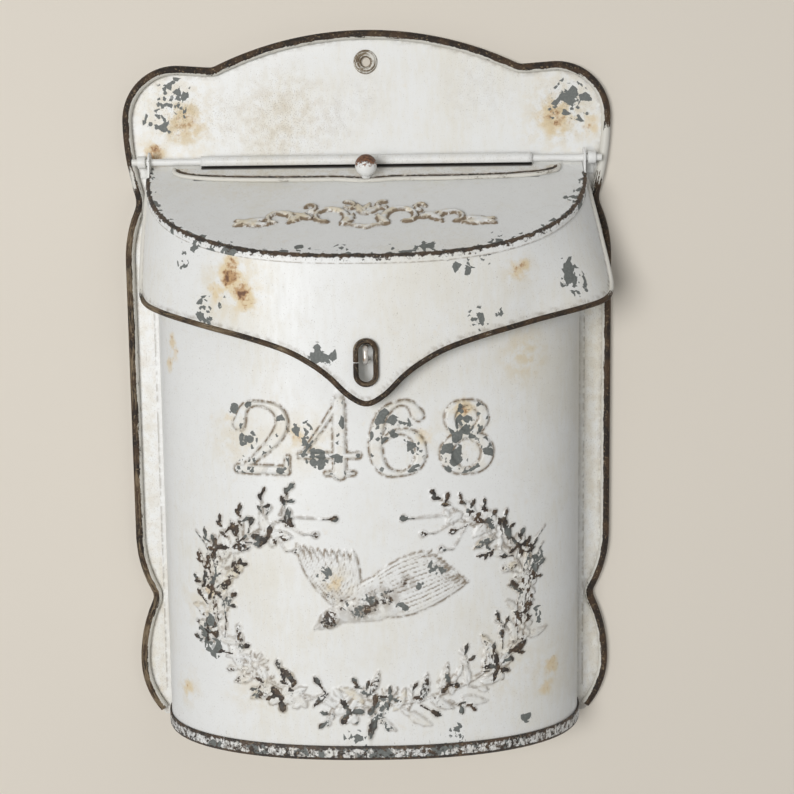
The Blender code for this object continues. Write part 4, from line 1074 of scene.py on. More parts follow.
def bare_group():
    """Colour of worn sheet steel, from black-brown to tan and grey."""
    tree, s, given, out = shader_group("worn_metal_colour", {"Place": PLACE, "Grey": NUMBER},
                                       {"Colour": TINT})
    slow = s.mask(s.noise(given["Place"], 130.0, 3.0, 0.6), 0.42, 0.62)
    quick = s.mask(s.noise(given["Place"], 900.0, 3.0, 0.6), 0.56, 0.72)
    brown = s.blend(slow, WORN_DARK, WORN_BROWN)
    brown = s.blend(quick, brown, WORN_TAN)
    s.put(s.blend(given["Grey"], brown, BARE_GREY), out["Colour"])
    return tree


def enamel_group():
    """Tone, roughness and slight unevenness of old white enamel."""
    tree, s, given, out = shader_group("old_enamel", {"Place": PLACE},
                                       {"Colour": TINT, "Roughness": NUMBER, "Height": NUMBER})
    slow = s.noise(given["Place"], 14.0, 4.0, 0.6)
    grain = s.noise(s.stretched(given["Place"], (1.0, 1.0, 0.25)), 420.0, 3.0, 0.6)
    tone = s.plus(s.maths("MULTIPLY", slow, 0.75), grain, 0.25)
    s.put(s.blend(s.mask(tone, 0.44, 0.66), PAINT, PAINT_WARM), out["Colour"])
    s.put(s.level(grain, 0.30, 0.52), out["Roughness"])
    lumps = s.noise(given["Place"], 60.0, 3.0, 0.5)
    s.put(s.plus(s.maths("MULTIPLY", lumps, 0.8), grain, 0.2), out["Height"])
    return tree


FLAKES, RAGGED, BARE, ENAMEL = flakes_group(), ragged_group(), bare_group(), enamel_group()


def use(s, tree, **inputs):
    """Places a shader node group with its own values."""
    node = s.add("ShaderNodeGroup", node_tree=tree)
    s.feed(node.inputs, inputs)
    return node.outputs


def new_material(name):
    """A material, its shader, the sockets of what is shown, and the place on the object."""
    material = bpy.data.materials.new(name)
    material.use_nodes = True
    s = Shader(material.node_tree)
    place = s.add("ShaderNodeTexCoord").outputs["Object"]
    return material, s, s.tree.nodes["Principled BSDF"].inputs, place


def chipped_enamel():
    """White enamel that reads the marks painted on each piece: chip, wear, line, worn, cream, rust, speck,
    streak and crevice. The line is dirt and in part painted shade; the crevice mark is near-black painted
    shade in the gap at the flap's knuckle."""
    material, s, shown, place = new_material("chipped_enamel")
    paint = use(s, ENAMEL, Place=place)
    fine = s.noise(place, 1100.0, 3.0, 0.6)
    broad = s.noise(place, 170.0, 4.0, 0.6)
    colour = paint["Colour"]
    # Cream and rust stains
    cream = s.maths("MULTIPLY", s.painted("cream"), s.mask(broad, 0.36, 0.62), clamp=True)
    colour = s.blend(s.maths("MULTIPLY", cream, 0.62), colour, CREAM)
    rust = s.painted("rust")
    mottle = s.maths("SUBTRACT", s.noise(place, 330.0, 5.0, 0.65), 0.5)
    halo = s.mask(s.maths("ADD", rust, s.swing(broad, 1.3)), 0.12, 0.75)
    inner = s.mask(s.plus(rust, mottle, 2.4), 0.62, 1.10)
    core = s.mask(s.plus(rust, mottle, 3.4), 1.05, 1.50)
    for amount, share, tint in ((halo, 0.60, STAIN_PALE), (inner, 0.78, STAIN), (core, 0.90, RUST)):
        colour = s.blend(s.maths("MULTIPLY", amount, share), colour, tint)
    # Dust specks, and dark lines that are dirt and in part painted shade
    clouds = s.maths("MULTIPLY", s.mask(broad, 0.42, 0.68), s.painted("speck"))
    colour = s.blend(s.maths("MULTIPLY", clouds, 0.22, clamp=True), colour, WORN_TAN)
    speck = s.mask(s.plus(s.noise(place, 2300.0, 1.0), s.painted("speck"), 0.13), 0.70, 0.76)
    colour = s.blend(s.maths("MULTIPLY", speck, 0.6), colour, DIRT_AND_SHADE)
    dirt_and_shade_lines = s.maths("MULTIPLY", s.painted("line"), s.mask(s.noise(place, 330.0, 3.0, 0.6), 0.33, 0.60))
    colour = s.blend(s.maths("MULTIPLY", dirt_and_shade_lines, 0.86, clamp=True), colour, DIRT_AND_SHADE)
    brushed = s.noise(s.stretched(place, (620.0, 620.0, 190.0)), 1.0, 6.0, 0.78)
    streak = s.mask(s.plus(brushed, s.painted("streak"), 0.24), 0.66, 0.78)
    colour = s.blend(s.maths("MULTIPLY", streak, 0.8), colour, WORN_BROWN)
    # Metal that shows where paint has worn or flaked off
    worn_metal = use(s, BARE, Place=place, Grey=s.mask(s.noise(place, 90.0, 2.0), 0.50, 0.62))["Colour"]
    tops = use(s, RAGGED, Place=place, Amount=s.painted("worn"), Fineness=520.0)["Mask"]
    edges = use(s, RAGGED, Place=place, Amount=s.painted("wear"), Fineness=420.0)["Mask"]
    dark = use(s, BARE, Place=place, Grey=0.0)["Colour"]
    chips = use(s, FLAKES, Place=place, Amount=s.painted("chip"), Fineness=250.0)["Mask"]
    grey = s.blend(s.mask(fine, 0.35, 0.7), BARE_GREY, PALE_GREY)
    colour = s.blend(tops, colour, worn_metal)
    colour = s.blend(chips, colour, grey)
    colour = s.blend(edges, colour, dark)
    # painted shade: near black in the gap under the flap's knuckle and on the knuckle's tucked-in rows
    colour = s.blend(s.painted("crevice_shade"), colour, CREVICE_SHADE)
    lost = s.maths("MAXIMUM", chips, s.maths("MAXIMUM", tops, edges))
    rough = s.blend(s.maths("MAXIMUM", lost, halo), paint["Roughness"], (0.62, 0.62, 0.62))
    height = s.maths("SUBTRACT", s.maths("MULTIPLY", paint["Height"], 0.35), lost)
    s.feed(shown, {"Base Color": colour, "Roughness": rough, "Normal": s.bump(height, 0.55, 0.00025)})
    return material


def worn_rim(name, tan_low, tan_high, paint_low, paint_high):
    """A rolled edge rubbed to brown and black, streaked along its length. The limits say how much tan and
    how much white paint is left. Its marks also paint shade in the eyelet's hole, and in part a highlight on
    the skirt's hem."""
    material, s, shown, place = new_material(name)
    run = s.add("ShaderNodeCombineXYZ", {0: s.maths("MULTIPLY", s.painted("along"), 120.0),
                                         1: s.maths("MULTIPLY", s.painted("around"), 14.0)}).outputs[0]
    streaks = s.noise(run, 1.0, 4.0, 0.65)
    blotches = s.noise(place, 55.0, 3.0, 0.55)
    fine = s.noise(place, 1000.0, 3.0, 0.6)
    mixed = s.plus(s.maths("MULTIPLY", streaks, 0.62), blotches, 0.38)
    colour = use(s, BARE, Place=place, Grey=0.0)["Colour"]
    tan = s.mask(s.plus(mixed, s.painted("tan"), 0.12), tan_low, tan_high)
    colour = s.blend(s.maths("MULTIPLY", tan, 0.9), colour, s.blend(fine, WORN_TAN, DARK_TAN))
    left = s.maths("ADD", mixed, s.swing(fine, 0.25))
    # more white paint where the inner mark is high; where it is negative, round the eyelet's hole, the metal
    # shows dark as painted shade
    left = s.plus(left, s.painted("inner"), 0.35)
    paint = s.mask(left, paint_low, paint_high)
    colour = s.blend(paint, colour, PAINT_DULL)
    rough = s.blend(paint, (0.70, 0.70, 0.70), (0.42, 0.42, 0.42))
    height = s.plus(s.maths("MULTIPLY", paint, 0.8), fine, 0.5)
    s.feed(shown, {"Base Color": colour, "Roughness": rough, "Specular IOR Level": 0.3,
                   "Normal": s.bump(height, 0.6, 0.0002)})
    return material


def bare_steel():
    material, s, shown, place = new_material("dull_bare_steel")
    fine = s.noise(place, 900.0, 4.0, 0.6)
    slow = s.mask(s.noise(place, 180.0, 3.0), 0.48, 0.66)
    colour = s.blend(slow, s.blend(fine, STEEL_PALE, STEEL_GREY), STEEL_BROWN)
    s.feed(shown, {"Base Color": colour, "Roughness": s.level(fine, 0.26, 0.50), "Metallic": 0.85})
    return material


def ball_paint():
    """White ball with its top rubbed to red-brown rust."""
    material, s, shown, place = new_material("knob_paint")
    paint = use(s, ENAMEL, Place=place)
    fine = s.noise(place, 900.0, 4.0, 0.65)
    rub = s.mask(s.maths("ADD", s.painted("rub"), s.swing(fine, 1.1)), 0.45, 0.60)
    brown = s.blend(s.mask(fine, 0.40, 0.62), BALL_RUST_DARK, BALL_RUST)
    s.feed(shown, {"Base Color": s.blend(rub, paint["Colour"], brown),
                   "Roughness": s.blend(rub, (0.30, 0.30, 0.30), (0.55, 0.55, 0.55)),
                   "Normal": s.bump(s.maths("SUBTRACT", fine, rub), 0.4, 0.0002)})
    return material


WHITE = chipped_enamel()
RIM = worn_rim("worn_plate_rim", 0.59, 0.70, 0.70, 0.76)
# on the hem the thin tan streaks are in part a painted highlight along the bead
HEM = worn_rim("worn_skirt_hem", 0.54, 0.66, 0.62, 0.70)
RING = worn_rim("worn_lock_ring", 0.50, 0.62, 0.60, 0.68)
EYELET = worn_rim("worn_eyelet", 0.36, 0.50, 0.46, 0.56)
FLAP_EDGE = worn_rim("worn_flap_edge", 0.34, 0.44, 0.36, 0.44)
STEEL = bare_steel()
BALL = ball_paint()


SIDE_NAMES = {-1: "left", 1: "right"}
LUGS = ("hinge_lug_left", "hinge_lug_right")


# Back plate, eyelet, lugs and rod

def plate():
    edge = plate_edge(2)
    outline = mirrored(edge)
    hole = circle(EYELET_BARREL + GAP, (0.0, EYELET_Z))
    places, faces, _ = filled([outline, hole], PLATE_STEP)
    points = np.stack((places[:, 0], np.full(len(places), -SHEET), places[:, 1]), axis=1)
    from_edge = distance_to(places, outline, closed=True)
    x, z = places[:, 0], places[:, 1]
    from_rim = from_edge - 2 * RIM_RADIUS
    under_rod = close_to(np.abs(z - HINGE.z), 0.010)
    # painted shade: the plate's strips beside the box, below the hinge, are dimmed with extra cream tint and
    # dust
    shade_beside_box = smooth_step((np.abs(x) - BODY_HALF) / 0.004) * smooth_step((HINGE.z - z) / 0.020)
    marks = {"chip": patches(x, z, PLATE_CHIPS), "rust": patches(x, z, PLATE_RUST),
             "cream": np.maximum(patches(x, z, PLATE_CREAM), 0.25 * shade_beside_box),
             "speck": np.maximum(patches(x, z, PLATE_SPECKS), 0.5 * shade_beside_box),
             # painted shade: a soft dark line on the plate along the foot of the rim
             "line": 0.5 * close_to(from_rim, 0.0010),
             "wear": 0.25 * close_to(from_rim, 0.0020) + 0.12 * under_rod * (np.abs(x) > LID_HALF)}
    face = sheet("plate_face", points, faces, WHITE, marks)
    past_band = BODY_HALF + 2 * GAP + SHEET + RIM_RADIUS
    half = [(x, z) for x, z in inset(edge, RIM_RADIUS) if z > 0 or x > past_band]
    line = [(x, -RIM_RADIUS - RIM_SETBACK, z) for x, z in mirrored(half)]
    rim = wire("plate_rim", line, RIM_RADIUS, RIM, sides=20, spacing=0.0016)
    x, _, z = points_of(rim).T
    inward = distance_to(np.stack((x, z), axis=1), outline, closed=True) / RIM_RADIUS
    tan = np.clip((SHOULDER_Z - z) / 0.03, -0.9, 1) - 0.9 * smooth_step(x / 0.08)
    left = np.maximum(smooth_step((inward - 1.25) / 0.5), patches(x, z, RIM_PAINT))
    paint_on(rim.data, {"tan": tan, "inner": left})
    return face, rim


def eyelet():
    top = SHEET + GAP + EYELET_HEIGHT
    middle, half = (EYELET_HOLE + EYELET_FLANGE) / 2, (EYELET_FLANGE - EYELET_HOLE) / 2
    profile = [(middle + half * math.cos(a), SHEET + (top - SHEET) * math.sin(a))
               for a in np.radians(np.linspace(0, 180, 13))]
    profile += [(EYELET_HOLE, GAP / 2), (EYELET_BARREL, GAP / 2), (EYELET_BARREL, SHEET)]
    place = Matrix.Translation((0, 0, EYELET_Z)) @ Matrix.Rotation(math.radians(90), 4, "X")
    piece = turned("eyelet_ring", profile, EYELET, place, closed=True)
    x, _, z = points_of(piece).T
    angle, away = np.arctan2(z - EYELET_Z, x), np.hypot(x, z - EYELET_Z)
    # painted shade: round the hole the paint is taken off, so the barrel shows dark
    paint_on(piece.data, {"along": 0.004 * angle, "around": away * 120.0,
                          "inner": np.where(away < EYELET_HOLE + 0.0004, -1.0, 0.0)})
    return piece


def hinge_parts():
    lugs = [softened_copy(node, node + "_strap", WHITE, LUG_BEVEL) for node in LUGS]
    line = [(x, HINGE.y, HINGE.z) for x in np.linspace(-ROD_HALF_LENGTH, ROD_HALF_LENGTH, 12)]
    rod = wire("painted_rod", line, ROD_RADIUS, WHITE, sides=20, spacing=0.004)
    return lugs, rod


# Box

def spaced(start, stop, step):
    return list(np.linspace(start, stop, max(2, int(round(abs(stop - start) / step)) + 1)))


def box_wall():
    length = BODY_PLAN.half_length
    columns = np.array(spaced(-length, -RELIEF_HALF, BOX_STEP)[:-1]
                       + spaced(-RELIEF_HALF, RELIEF_HALF, RELIEF_STEP)
                       + spaced(RELIEF_HALF, length, BOX_STEP)[1:])
    floor = BASE_Z + SHEET + GAP
    low = spaced(floor, RELIEF_LOW, BOX_STEP)[:-1] + spaced(RELIEF_LOW, RELIEF_HIGH, RELIEF_STEP)
    shares = np.linspace(0, 1, 26)[1:]
    _, depth = BODY_PLAN.at(columns)
    top = lid_height(depth, SHEET + BODY_TOP_DROP)
    rows = [np.full(len(columns), z) for z in low]
    rows += [RELIEF_HIGH + (top - RELIEF_HIGH) * share for share in shares]
    z = np.array(rows)
    u = np.broadcast_to(columns, z.shape)
    relief = Relief(u, z)
    numerals(relief)
    relief.chip = 0.24 * (relief.height > 0.5 * EMBOSS)
    wreath(relief)
    swallow(relief)
    marks = relief.marks()
    u, z = u.ravel(), z.ravel()
    marks["chip"] = np.maximum(marks["chip"], patches(u, z, BODY_CHIPS))
    marks["cream"] = np.maximum(marks["cream"], patches(u, z, BODY_CREAM))
    marks["rust"] = patches(u, z, BODY_RUST)
    marks["speck"] = np.full(len(u), 0.12)
    # painted shade: a dark line along the wall's back edges, in the corner by the flange
    marks["line"] = np.maximum(marks["line"], 0.5 * close_to(length - np.abs(u), 0.0012))
    marks["streak"] = (0.22 * np.exp(-((np.abs(u) - 0.118) / 0.004) ** 2)
                       + 0.25 * close_to(z - floor - BAND_HEIGHT, 0.006))
    x, y = BODY_PLAN.at(u, relief.height)
    outer = np.stack((x, y, z), axis=1)
    inner_rows = [0, len(rows) // 2, len(rows) - 1]
    x, y = BODY_PLAN.at(columns, -SHEET)
    inner = np.concatenate([np.stack((x, y, rows[i]), axis=1) for i in inner_rows])
    count, wide = len(outer), len(columns)
    faces = grid_faces(len(rows), wide)
    back = grid_faces(len(inner_rows), wide, count)
    faces += [face[::-1] for face in back]
    for row, inside in ((0, 0), (len(rows) - 1, len(inner_rows) - 1)):
        a, b = row * wide, count + inside * wide
        strip = [(a + j, b + j, b + j + 1, a + j + 1) for j in range(wide - 1)]
        faces += strip if row == 0 else [face[::-1] for face in strip]
    for column in (0, wide - 1):
        border = [row * wide + column for row in range(len(rows))]
        border += [count + inside * wide + column for inside in reversed(range(len(inner_rows)))]
        faces.append(border if column == 0 else border[::-1])
    for name, values in marks.items():
        marks[name] = np.concatenate((values, np.zeros(len(inner))))
    return sheet("box_wall", np.vstack((outer, inner)), faces, WHITE, marks, thickness=None,
                 outward=(0, -1, 0), crease=60)


def flange(side):
    """Narrow strip beside the box that is welded to the plate."""
    inner, outer = BODY_HALF - 0.7 * SHEET, BODY_HALF + FLANGE_WIDTH
    heights = np.linspace(FLANGE_BOTTOM, FLANGE_TOP, 60)
    rows = [[(side * x, BOX_BACK - SHEET, z) for x in np.linspace(inner, outer, 4)] for z in heights]
    # the dark line at the inner column is painted shade in the corner by the box wall; the outer one runs
    # along the flange's edge
    marks = {"line": np.tile([0.7, 0.2, 0.1, 0.75], len(heights)),
             "wear": np.tile([0.1, 0.0, 0.0, 0.28], len(heights))}
    return sheet("box_flange_" + SIDE_NAMES[side], np.array(rows).reshape(-1, 3),
                 grid_faces(len(heights), 4), WHITE, marks)


def bottom_band():
    """Turned-up edge of the bottom with its rolled lower corner and flat underside."""
    out, roll, upper = GAP + SHEET, BAND_ROLL, BASE_Z + BAND_HEIGHT
    columns = np.linspace(-BODY_PLAN.half_length, BODY_PLAN.half_length, 260)
    section = [(out - SHEET, upper - BAND_TIP), (out - SHEET / 2, upper), (out, upper - BAND_TIP),
               (out, upper - 0.0020), (out, BASE_Z + BAND_HEIGHT / 2), (out, BASE_Z + roll)]
    section += [(out - roll + roll * math.cos(a), BASE_Z + roll - roll * math.sin(a))
                for a in np.radians((18, 36, 54, 72, 90))]
    rows, marks = [], {"wear": [], "chip": [], "line": [], "streak": []}
    for shift, z in section:
        x, y = BODY_PLAN.at(columns, shift)
        y = np.minimum(y, BOX_BACK)
        rows.append(np.stack((x, y, np.full(len(x), z)), axis=1))
        corner = upper - z
        marks["wear"].append(np.full(len(x), 0.95 if z < BASE_Z + 0.75 * roll else
                                     (0.84 if corner < 0.0008 else 0.54)))
        marks["line"].append(np.full(len(x), 0.9 if corner < 0.0008 or z < BASE_Z + roll else 0.2))
        marks["chip"].append(0.8 * patches(columns, np.full(len(x), z), BAND_CHIPS))
        marks["streak"].append(np.full(len(x), 0.75))
    underside = rows[-1][::-1].copy()
    places = np.concatenate(rows)
    faces = grid_faces(len(section), len(columns))
    marks = {name: np.concatenate(values) for name, values in marks.items()}
    wall = sheet("bottom_band", places, faces, WHITE, marks, thickness=None, crease=60)
    flat, flat_faces, _ = filled([underside[:, :2]], BOTTOM_STEP)
    below = np.column_stack((flat, np.full(len(flat), BASE_Z)))
    floor = sheet("bottom_floor", below, flat_faces, WHITE, {"wear": np.full(len(below), 0.22)},
                  thickness=SHEET, outward=(0, 0, -1))
    return joined("bottom_band", [wall, floor])


def bent_wire(points, radius, steps=8):
    """A line through points with its corners rounded."""
    corners = [Vector(point) for point in points]
    line = [corners[0]]
    for before, corner, after in zip(corners, corners[1:], corners[2:]):
        start = corner + (before - corner).normalized() * radius
        end = corner + (after - corner).normalized() * radius
        for step in range(steps + 1):
            t = step / steps
            line.append(start * (1 - t) ** 2 + corner * 2 * t * (1 - t) + end * t ** 2)
    line.append(corners[-1])
    return line


def staple():
    inside = -(BODY_FRONT - SHEET - GAP - STAPLE_RADIUS)
    bar = -(STAPLE_REACH - STAPLE_RADIUS)
    top, bottom = STAPLE_Z + STAPLE_HALF, STAPLE_Z - STAPLE_HALF
    route = [(0, inside, top + STAPLE_CLINCH), (0, inside, top), (0, bar, top), (0, bar, bottom),
             (0, inside, bottom), (0, inside, bottom - STAPLE_CLINCH)]
    return wire("staple_wire", bent_wire(route, STAPLE_BEND), STAPLE_RADIUS, STEEL, sides=16, spacing=0.0005)


# Lid

def lid_sheet():
    """Sloping sheet with letter slot, rounded fold and lip, and raised scrolls."""
    distances = np.linspace(-LID_PLAN.half_length, LID_PLAN.half_length, 400)
    x, y = LID_PLAN.at(distances)
    keep = lid_down(y) > EAR_NOTCH
    distances = distances[keep]
    x, y = LID_PLAN.at(distances, -FOLD_RADIUS)
    front = np.stack((x, lid_down(y)), axis=1)
    narrow = LID_HALF - SKIRT_INSET - SHEET - GAP
    corners = [(-narrow, -LID_TAIL), (-narrow, EAR_NOTCH)], [(narrow, EAR_NOTCH), (narrow, -LID_TAIL)]
    outline = np.vstack((corners[0], front, corners[1]))
    slot_end = LETTER_SLOT_START + LETTER_SLOT_DEPTH
    bay_start = math.asin((slot_end - KNOB_POSITION) / SCREW_BAY)
    bay = [(SCREW_BAY * math.cos(a), KNOB_POSITION + SCREW_BAY * math.sin(a))
           for a in np.linspace(bay_start, math.pi - bay_start, 12)]
    slot = np.array([(-LETTER_SLOT_HALF, LETTER_SLOT_START), (LETTER_SLOT_HALF, LETTER_SLOT_START),
                     (LETTER_SLOT_HALF, slot_end), *bay, (-LETTER_SLOT_HALF, slot_end)])
    low, high = ((x, SCROLL_POSITION + down) for x, down in SCROLL_AREA)
    places, faces, rims = filled([outline, slot], LID_STEP, (low, high, SCROLL_STEP))
    relief = Relief(places[:, 0], places[:, 1])
    scrolls(relief)
    top = lid_point(places[:, 0], places[:, 1], relief.height - LID_DROP)
    from_fold = distance_to(places, front)
    marks = relief.marks()
    chips = patches(places[:, 0], places[:, 1], LID_CHIPS)
    marks["chip"] = np.maximum(chips, 0.50 * close_to(from_fold, 0.0040))
    marks["wear"] = 0.95 * close_to(from_fold, 0.0024)
    marks["streak"] = np.zeros(len(places))
    marks["speck"] = 0.25 * close_to(from_fold, 0.014) + 0.10
    # Fold and lip below the edge of the top
    first = len(places)
    rows, extra = [], {name: [] for name in marks}
    levels = [(angle, FOLD_RADIUS) for angle in np.radians((25, 50, 70, 90))]
    levels += [(None, drop) for drop in (0.0018, 0.0028, LIP_HEIGHT)]
    for angle, drop in levels:
        if angle is None:
            px, py = LID_PLAN.at(distances)
            pz = lid_height(py) - drop
            fade = (drop - FOLD_RADIUS) / (LIP_HEIGHT - FOLD_RADIUS)
            worn, streak = 0.56 * (1 - 0.8 * fade), 0.6 * (1 - fade)
        else:
            px, py = LID_PLAN.at(distances, -FOLD_RADIUS * (1 - math.sin(angle)))
            pz = lid_height(py) - FOLD_RADIUS * (1 - math.cos(angle)) * 0.8
            worn, streak = 1.05 - 0.60 * angle / math.pi * 2, 0.3
        rows.append(np.stack((px, py, pz), axis=1))
        values = {"wear": worn, "streak": streak, "line": 0.9 if drop == LIP_HEIGHT else 0.0, "speck": 0.3}
        for name in extra:
            extra[name].append(np.full(len(distances), values.get(name, 0.0)))
        lid_chips = patches(px, lid_down(py), LID_CHIPS)
        extra["chip"][-1] = np.maximum(extra["chip"][-1], 0.9 * lid_chips)
    wide = len(distances)
    rim = rims[0][2:-2]
    faces += [(rim[j], rim[j + 1], first + j + 1, first + j) for j in range(wide - 1)]
    faces += grid_faces(len(levels), wide, first)
    points = np.vstack((top, *rows))
    marks = {name: np.concatenate((marks[name], *extra[name])) for name in marks}
    return sheet("lid_sheet", points, faces, WHITE, marks, outward=LID_UP, crease=75)


def skirt_edge(steps):
    """Free edge of the skirt as (distance along the plan, height), from left to right."""
    length = LID_PLAN.half_length
    right = list(EDGE_FRONT) + [(length - from_end, z) for from_end, z in EDGE_CHEEK]
    whole = [(-u, z) for u, z in reversed(right[1:])] + right
    return smooth_through(whole, steps)


def skirt_point(distance, z, out=0.0):
    """Points of the skirt's outer face; the cheeks' lower corners are bent outwards."""
    distance, z = np.asarray(distance, dtype=float), np.asarray(z, dtype=float)
    under_lip = lid_height(LID_PLAN.at(distance)[1]) - LIP_HEIGHT
    blend = smooth_step((np.abs(distance) - FLARE_START) / FLARE_LENGTH)
    flare = np.where(distance > 0, FLARE_RIGHT, FLARE_LEFT)
    bend = flare * blend * np.maximum(0.0, under_lip - z) / FLARE_DEPTH
    x, y = LID_PLAN.at(distance, out - SKIRT_INSET + bend)
    return np.stack((x, y, np.broadcast_to(z, x.shape)), axis=-1)


def skirt():
    edge = skirt_edge(8)
    u = np.linspace(edge[-1][0], edge[0][0], 180)
    upper = np.stack((u, lid_height(LID_PLAN.at(u)[1], SHEET + GAP)), axis=1)
    outline = np.vstack((edge, upper))
    slot = stadium(LOCK_HALF_WIDTH, LOCK_HALF_HEIGHT) + (0, LOCK_Z)
    places, faces, _ = filled([outline, slot], SKIRT_STEP)
    u, z = places[:, 0], places[:, 1]
    from_edge = distance_to(places, edge)
    marks = {"chip": patches(u, z, SKIRT_CHIPS), "rust": patches(u, z, SKIRT_RUST),
             "cream": patches(u, z, SKIRT_CREAM), "speck": np.full(len(u), 0.12),
             "wear": 0.45 * close_to(from_edge, 0.0026),
             "line": 0.7 * close_to(np.abs(from_edge - 0.0022), 0.0012)}
    wall = sheet("skirt_wall", skirt_point(u, z), faces, WHITE, marks, outward=(0, -1, 0))
    hem_line = [skirt_point(a, b, 0.35 * SKIRT_BEAD - SHEET / 2) for a, b in edge]
    hem = wire("skirt_hem", hem_line, SKIRT_BEAD, HEM, sides=14, spacing=0.0016)
    side, _, height = points_of(hem).T
    on_cheek = smooth_step((height - 0.054) / 0.010) * smooth_step((np.abs(side) - 0.095) / 0.010)
    # more tan to the left, the lit side, in part a painted highlight; paint stays on the cheeks
    paint_on(hem.data, {"tan": np.clip(-side / 0.1, -0.5, 1.0), "inner": on_cheek})
    return wall, hem


def ear(side):
    """Upright tab of the cheek that turns on the hinge rod."""
    outer = side * (LID_HALF - SKIRT_INSET)
    tab = [(EAR_RADIUS * math.cos(a), EAR_RADIUS * math.sin(a)) for a in np.radians(np.linspace(0, 180, 25))]
    foot = LID_DROP + SHEET + EAR_ROOT
    tab += [(-1.05 * EAR_RADIUS, -foot), (0.55 * EAR_RADIUS, -foot)]
    places, faces, _ = filled([np.array(tab), circle(ROD_RADIUS + RUNNING)], EAR_STEP)
    points = np.stack((np.full(len(places), outer), HINGE.y + places[:, 0], HINGE.z + places[:, 1]), axis=1)
    from_edge = distance_to(places, np.array(tab), closed=True)
    marks = {"wear": 0.4 * close_to(from_edge, 0.001)}
    return sheet("lid_ear_" + SIDE_NAMES[side], points, faces, WHITE, marks, outward=(side, 0, 0))


def lock_ring():
    loop = stadium(LOCK_HALF_WIDTH + RING_RADIUS, LOCK_HALF_HEIGHT + RING_RADIUS)
    y = -(LID_FRONT - SKIRT_INSET + GAP + RING_RADIUS)
    left_side = len(loop) // 2
    split = np.vstack((loop[left_side:], loop[:left_side]))
    start = split[0][0]
    route = [(start, -RING_JOINT / 2), *split, (start, RING_JOINT / 2)]
    line = [(x, y, LOCK_Z + z) for x, z in route]
    return wire("lock_ring", line, RING_RADIUS, RING, sides=14, spacing=0.0006)


# Flap and knob

def flap_front(across):
    """Front edge of the flap, down the slope from the hinge."""
    share = np.minimum(1.0, np.abs(across) / FLAP_HALF)
    depth = (FLAP_DEPTH - FLAP_BACK) * (1 - share ** FLAP_POWER) ** (1 / FLAP_POWER)
    lobe = np.where(np.abs(across) < FLAP_LOBE_HALF,
                    FLAP_LOBE * 0.5 * (1 + np.cos(math.pi * across / FLAP_LOBE_HALF)), 0.0)
    return FLAP_BACK + depth + lobe


def flap():
    across = FLAP_HALF * np.sin(np.radians(np.linspace(-89.5, 89.5, 240)))
    front = flap_front(across)
    shares = np.linspace(0, 1, 16)
    down = FLAP_BACK + np.outer(shares, front - FLAP_BACK)
    side = np.abs(np.broadcast_to(across, down.shape)).ravel()
    points = lid_point(across, down, FLAP_UNDER).reshape(-1, 3)
    from_front, down = (front - down).ravel(), down.ravel()
    worn_line = np.exp(-((from_front - FLAP_WORN[0]) / FLAP_WORN[1]) ** 2)
    # painted shade on the flap just in front of the knuckle's roll
    shade_behind_roll = (side < FLAP_KNUCKLE_HALF) * np.clip(1.6 - (down - FLAP_BACK) / 0.0009, 0, 1)
    tips = np.clip((side - 0.092) / 0.008, 0, 1)
    marks = {"wear": 0.84 * worn_line + 0.45 * tips, "line": 1.5 * worn_line, "cream": 0.6 * tips + 0.3,
             "rust": 0.35 * tips, "speck": np.full(len(points), 0.5), "crevice_shade": 0.95 * shade_behind_roll}
    face = sheet("flap_face", points, grid_faces(len(shares), len(across)), WHITE, marks, outward=LID_UP)
    middle = ROD_RADIUS + RUNNING + SHEET / 2
    turns = np.radians(np.linspace(-25, 270, 28))
    section = [(middle * math.cos(a), middle * math.sin(a)) for a in turns] + [(FLAP_BACK + 0.0004, -middle)]
    ends = np.linspace(-FLAP_KNUCKLE_HALF, FLAP_KNUCKLE_HALF, 60)
    rows = [lid_point(ends, down, up) for down, up in section]
    # painted shade: the roll's first row and its tucked-in tail are near black
    shaded_rows = [1.0 if i < 1 or i > len(section) - 6 else 0.0 for i in range(len(section))]
    marks = {"crevice_shade": np.repeat(shaded_rows, len(ends)), "speck": np.full(len(section) * len(ends), 0.35)}
    knuckle = sheet("flap_knuckle", np.concatenate(rows), grid_faces(len(section), len(ends)), WHITE, marks,
                    outward=LID_UP, thickness=None)
    knuckle = thicken(knuckle, SHEET, 0.0)
    knuckle.data.shade_smooth()
    line = lid_point(across, front - 0.4 * FLAP_BEAD, FLAP_UNDER - SHEET / 2 + 0.6 * FLAP_BEAD)
    bead = wire("flap_bead", line, FLAP_BEAD, FLAP_EDGE, sides=14, spacing=0.0012)
    return face, knuckle, bead


def knob():
    ball = GAP + KNOB_STAND + KNOB_LIFT * KNOB_RADIUS
    reach = math.acos(-math.sqrt(1 - (KNOB_NECK / KNOB_RADIUS) ** 2))
    profile = [(0.0, ball + KNOB_RADIUS)]
    profile += [(KNOB_RADIUS * math.sin(a), ball + KNOB_RADIUS * math.cos(a))
                for a in np.linspace(0, reach, 29)[1:]]
    profile += [(KNOB_FOOT, GAP + KNOB_STAND / 2), (KNOB_FOOT, GAP), (0.0, GAP)]
    origin = lid_point(0.0, KNOB_POSITION, FLAP_UNDER)
    turn = Matrix.Rotation(LID_SLOPE, 4, "X")
    piece = turned("knob_ball", profile, BALL, Matrix.Translation(origin) @ turn)
    z = points_of(piece)[:, 2]
    middle = lid_point(0.0, KNOB_POSITION, FLAP_UNDER + ball)[2]
    paint_on(piece.data, {"rub": 0.5 + 0.5 * (z - middle) / KNOB_RADIUS})
    return piece


# Wall, floor, lamps and camera

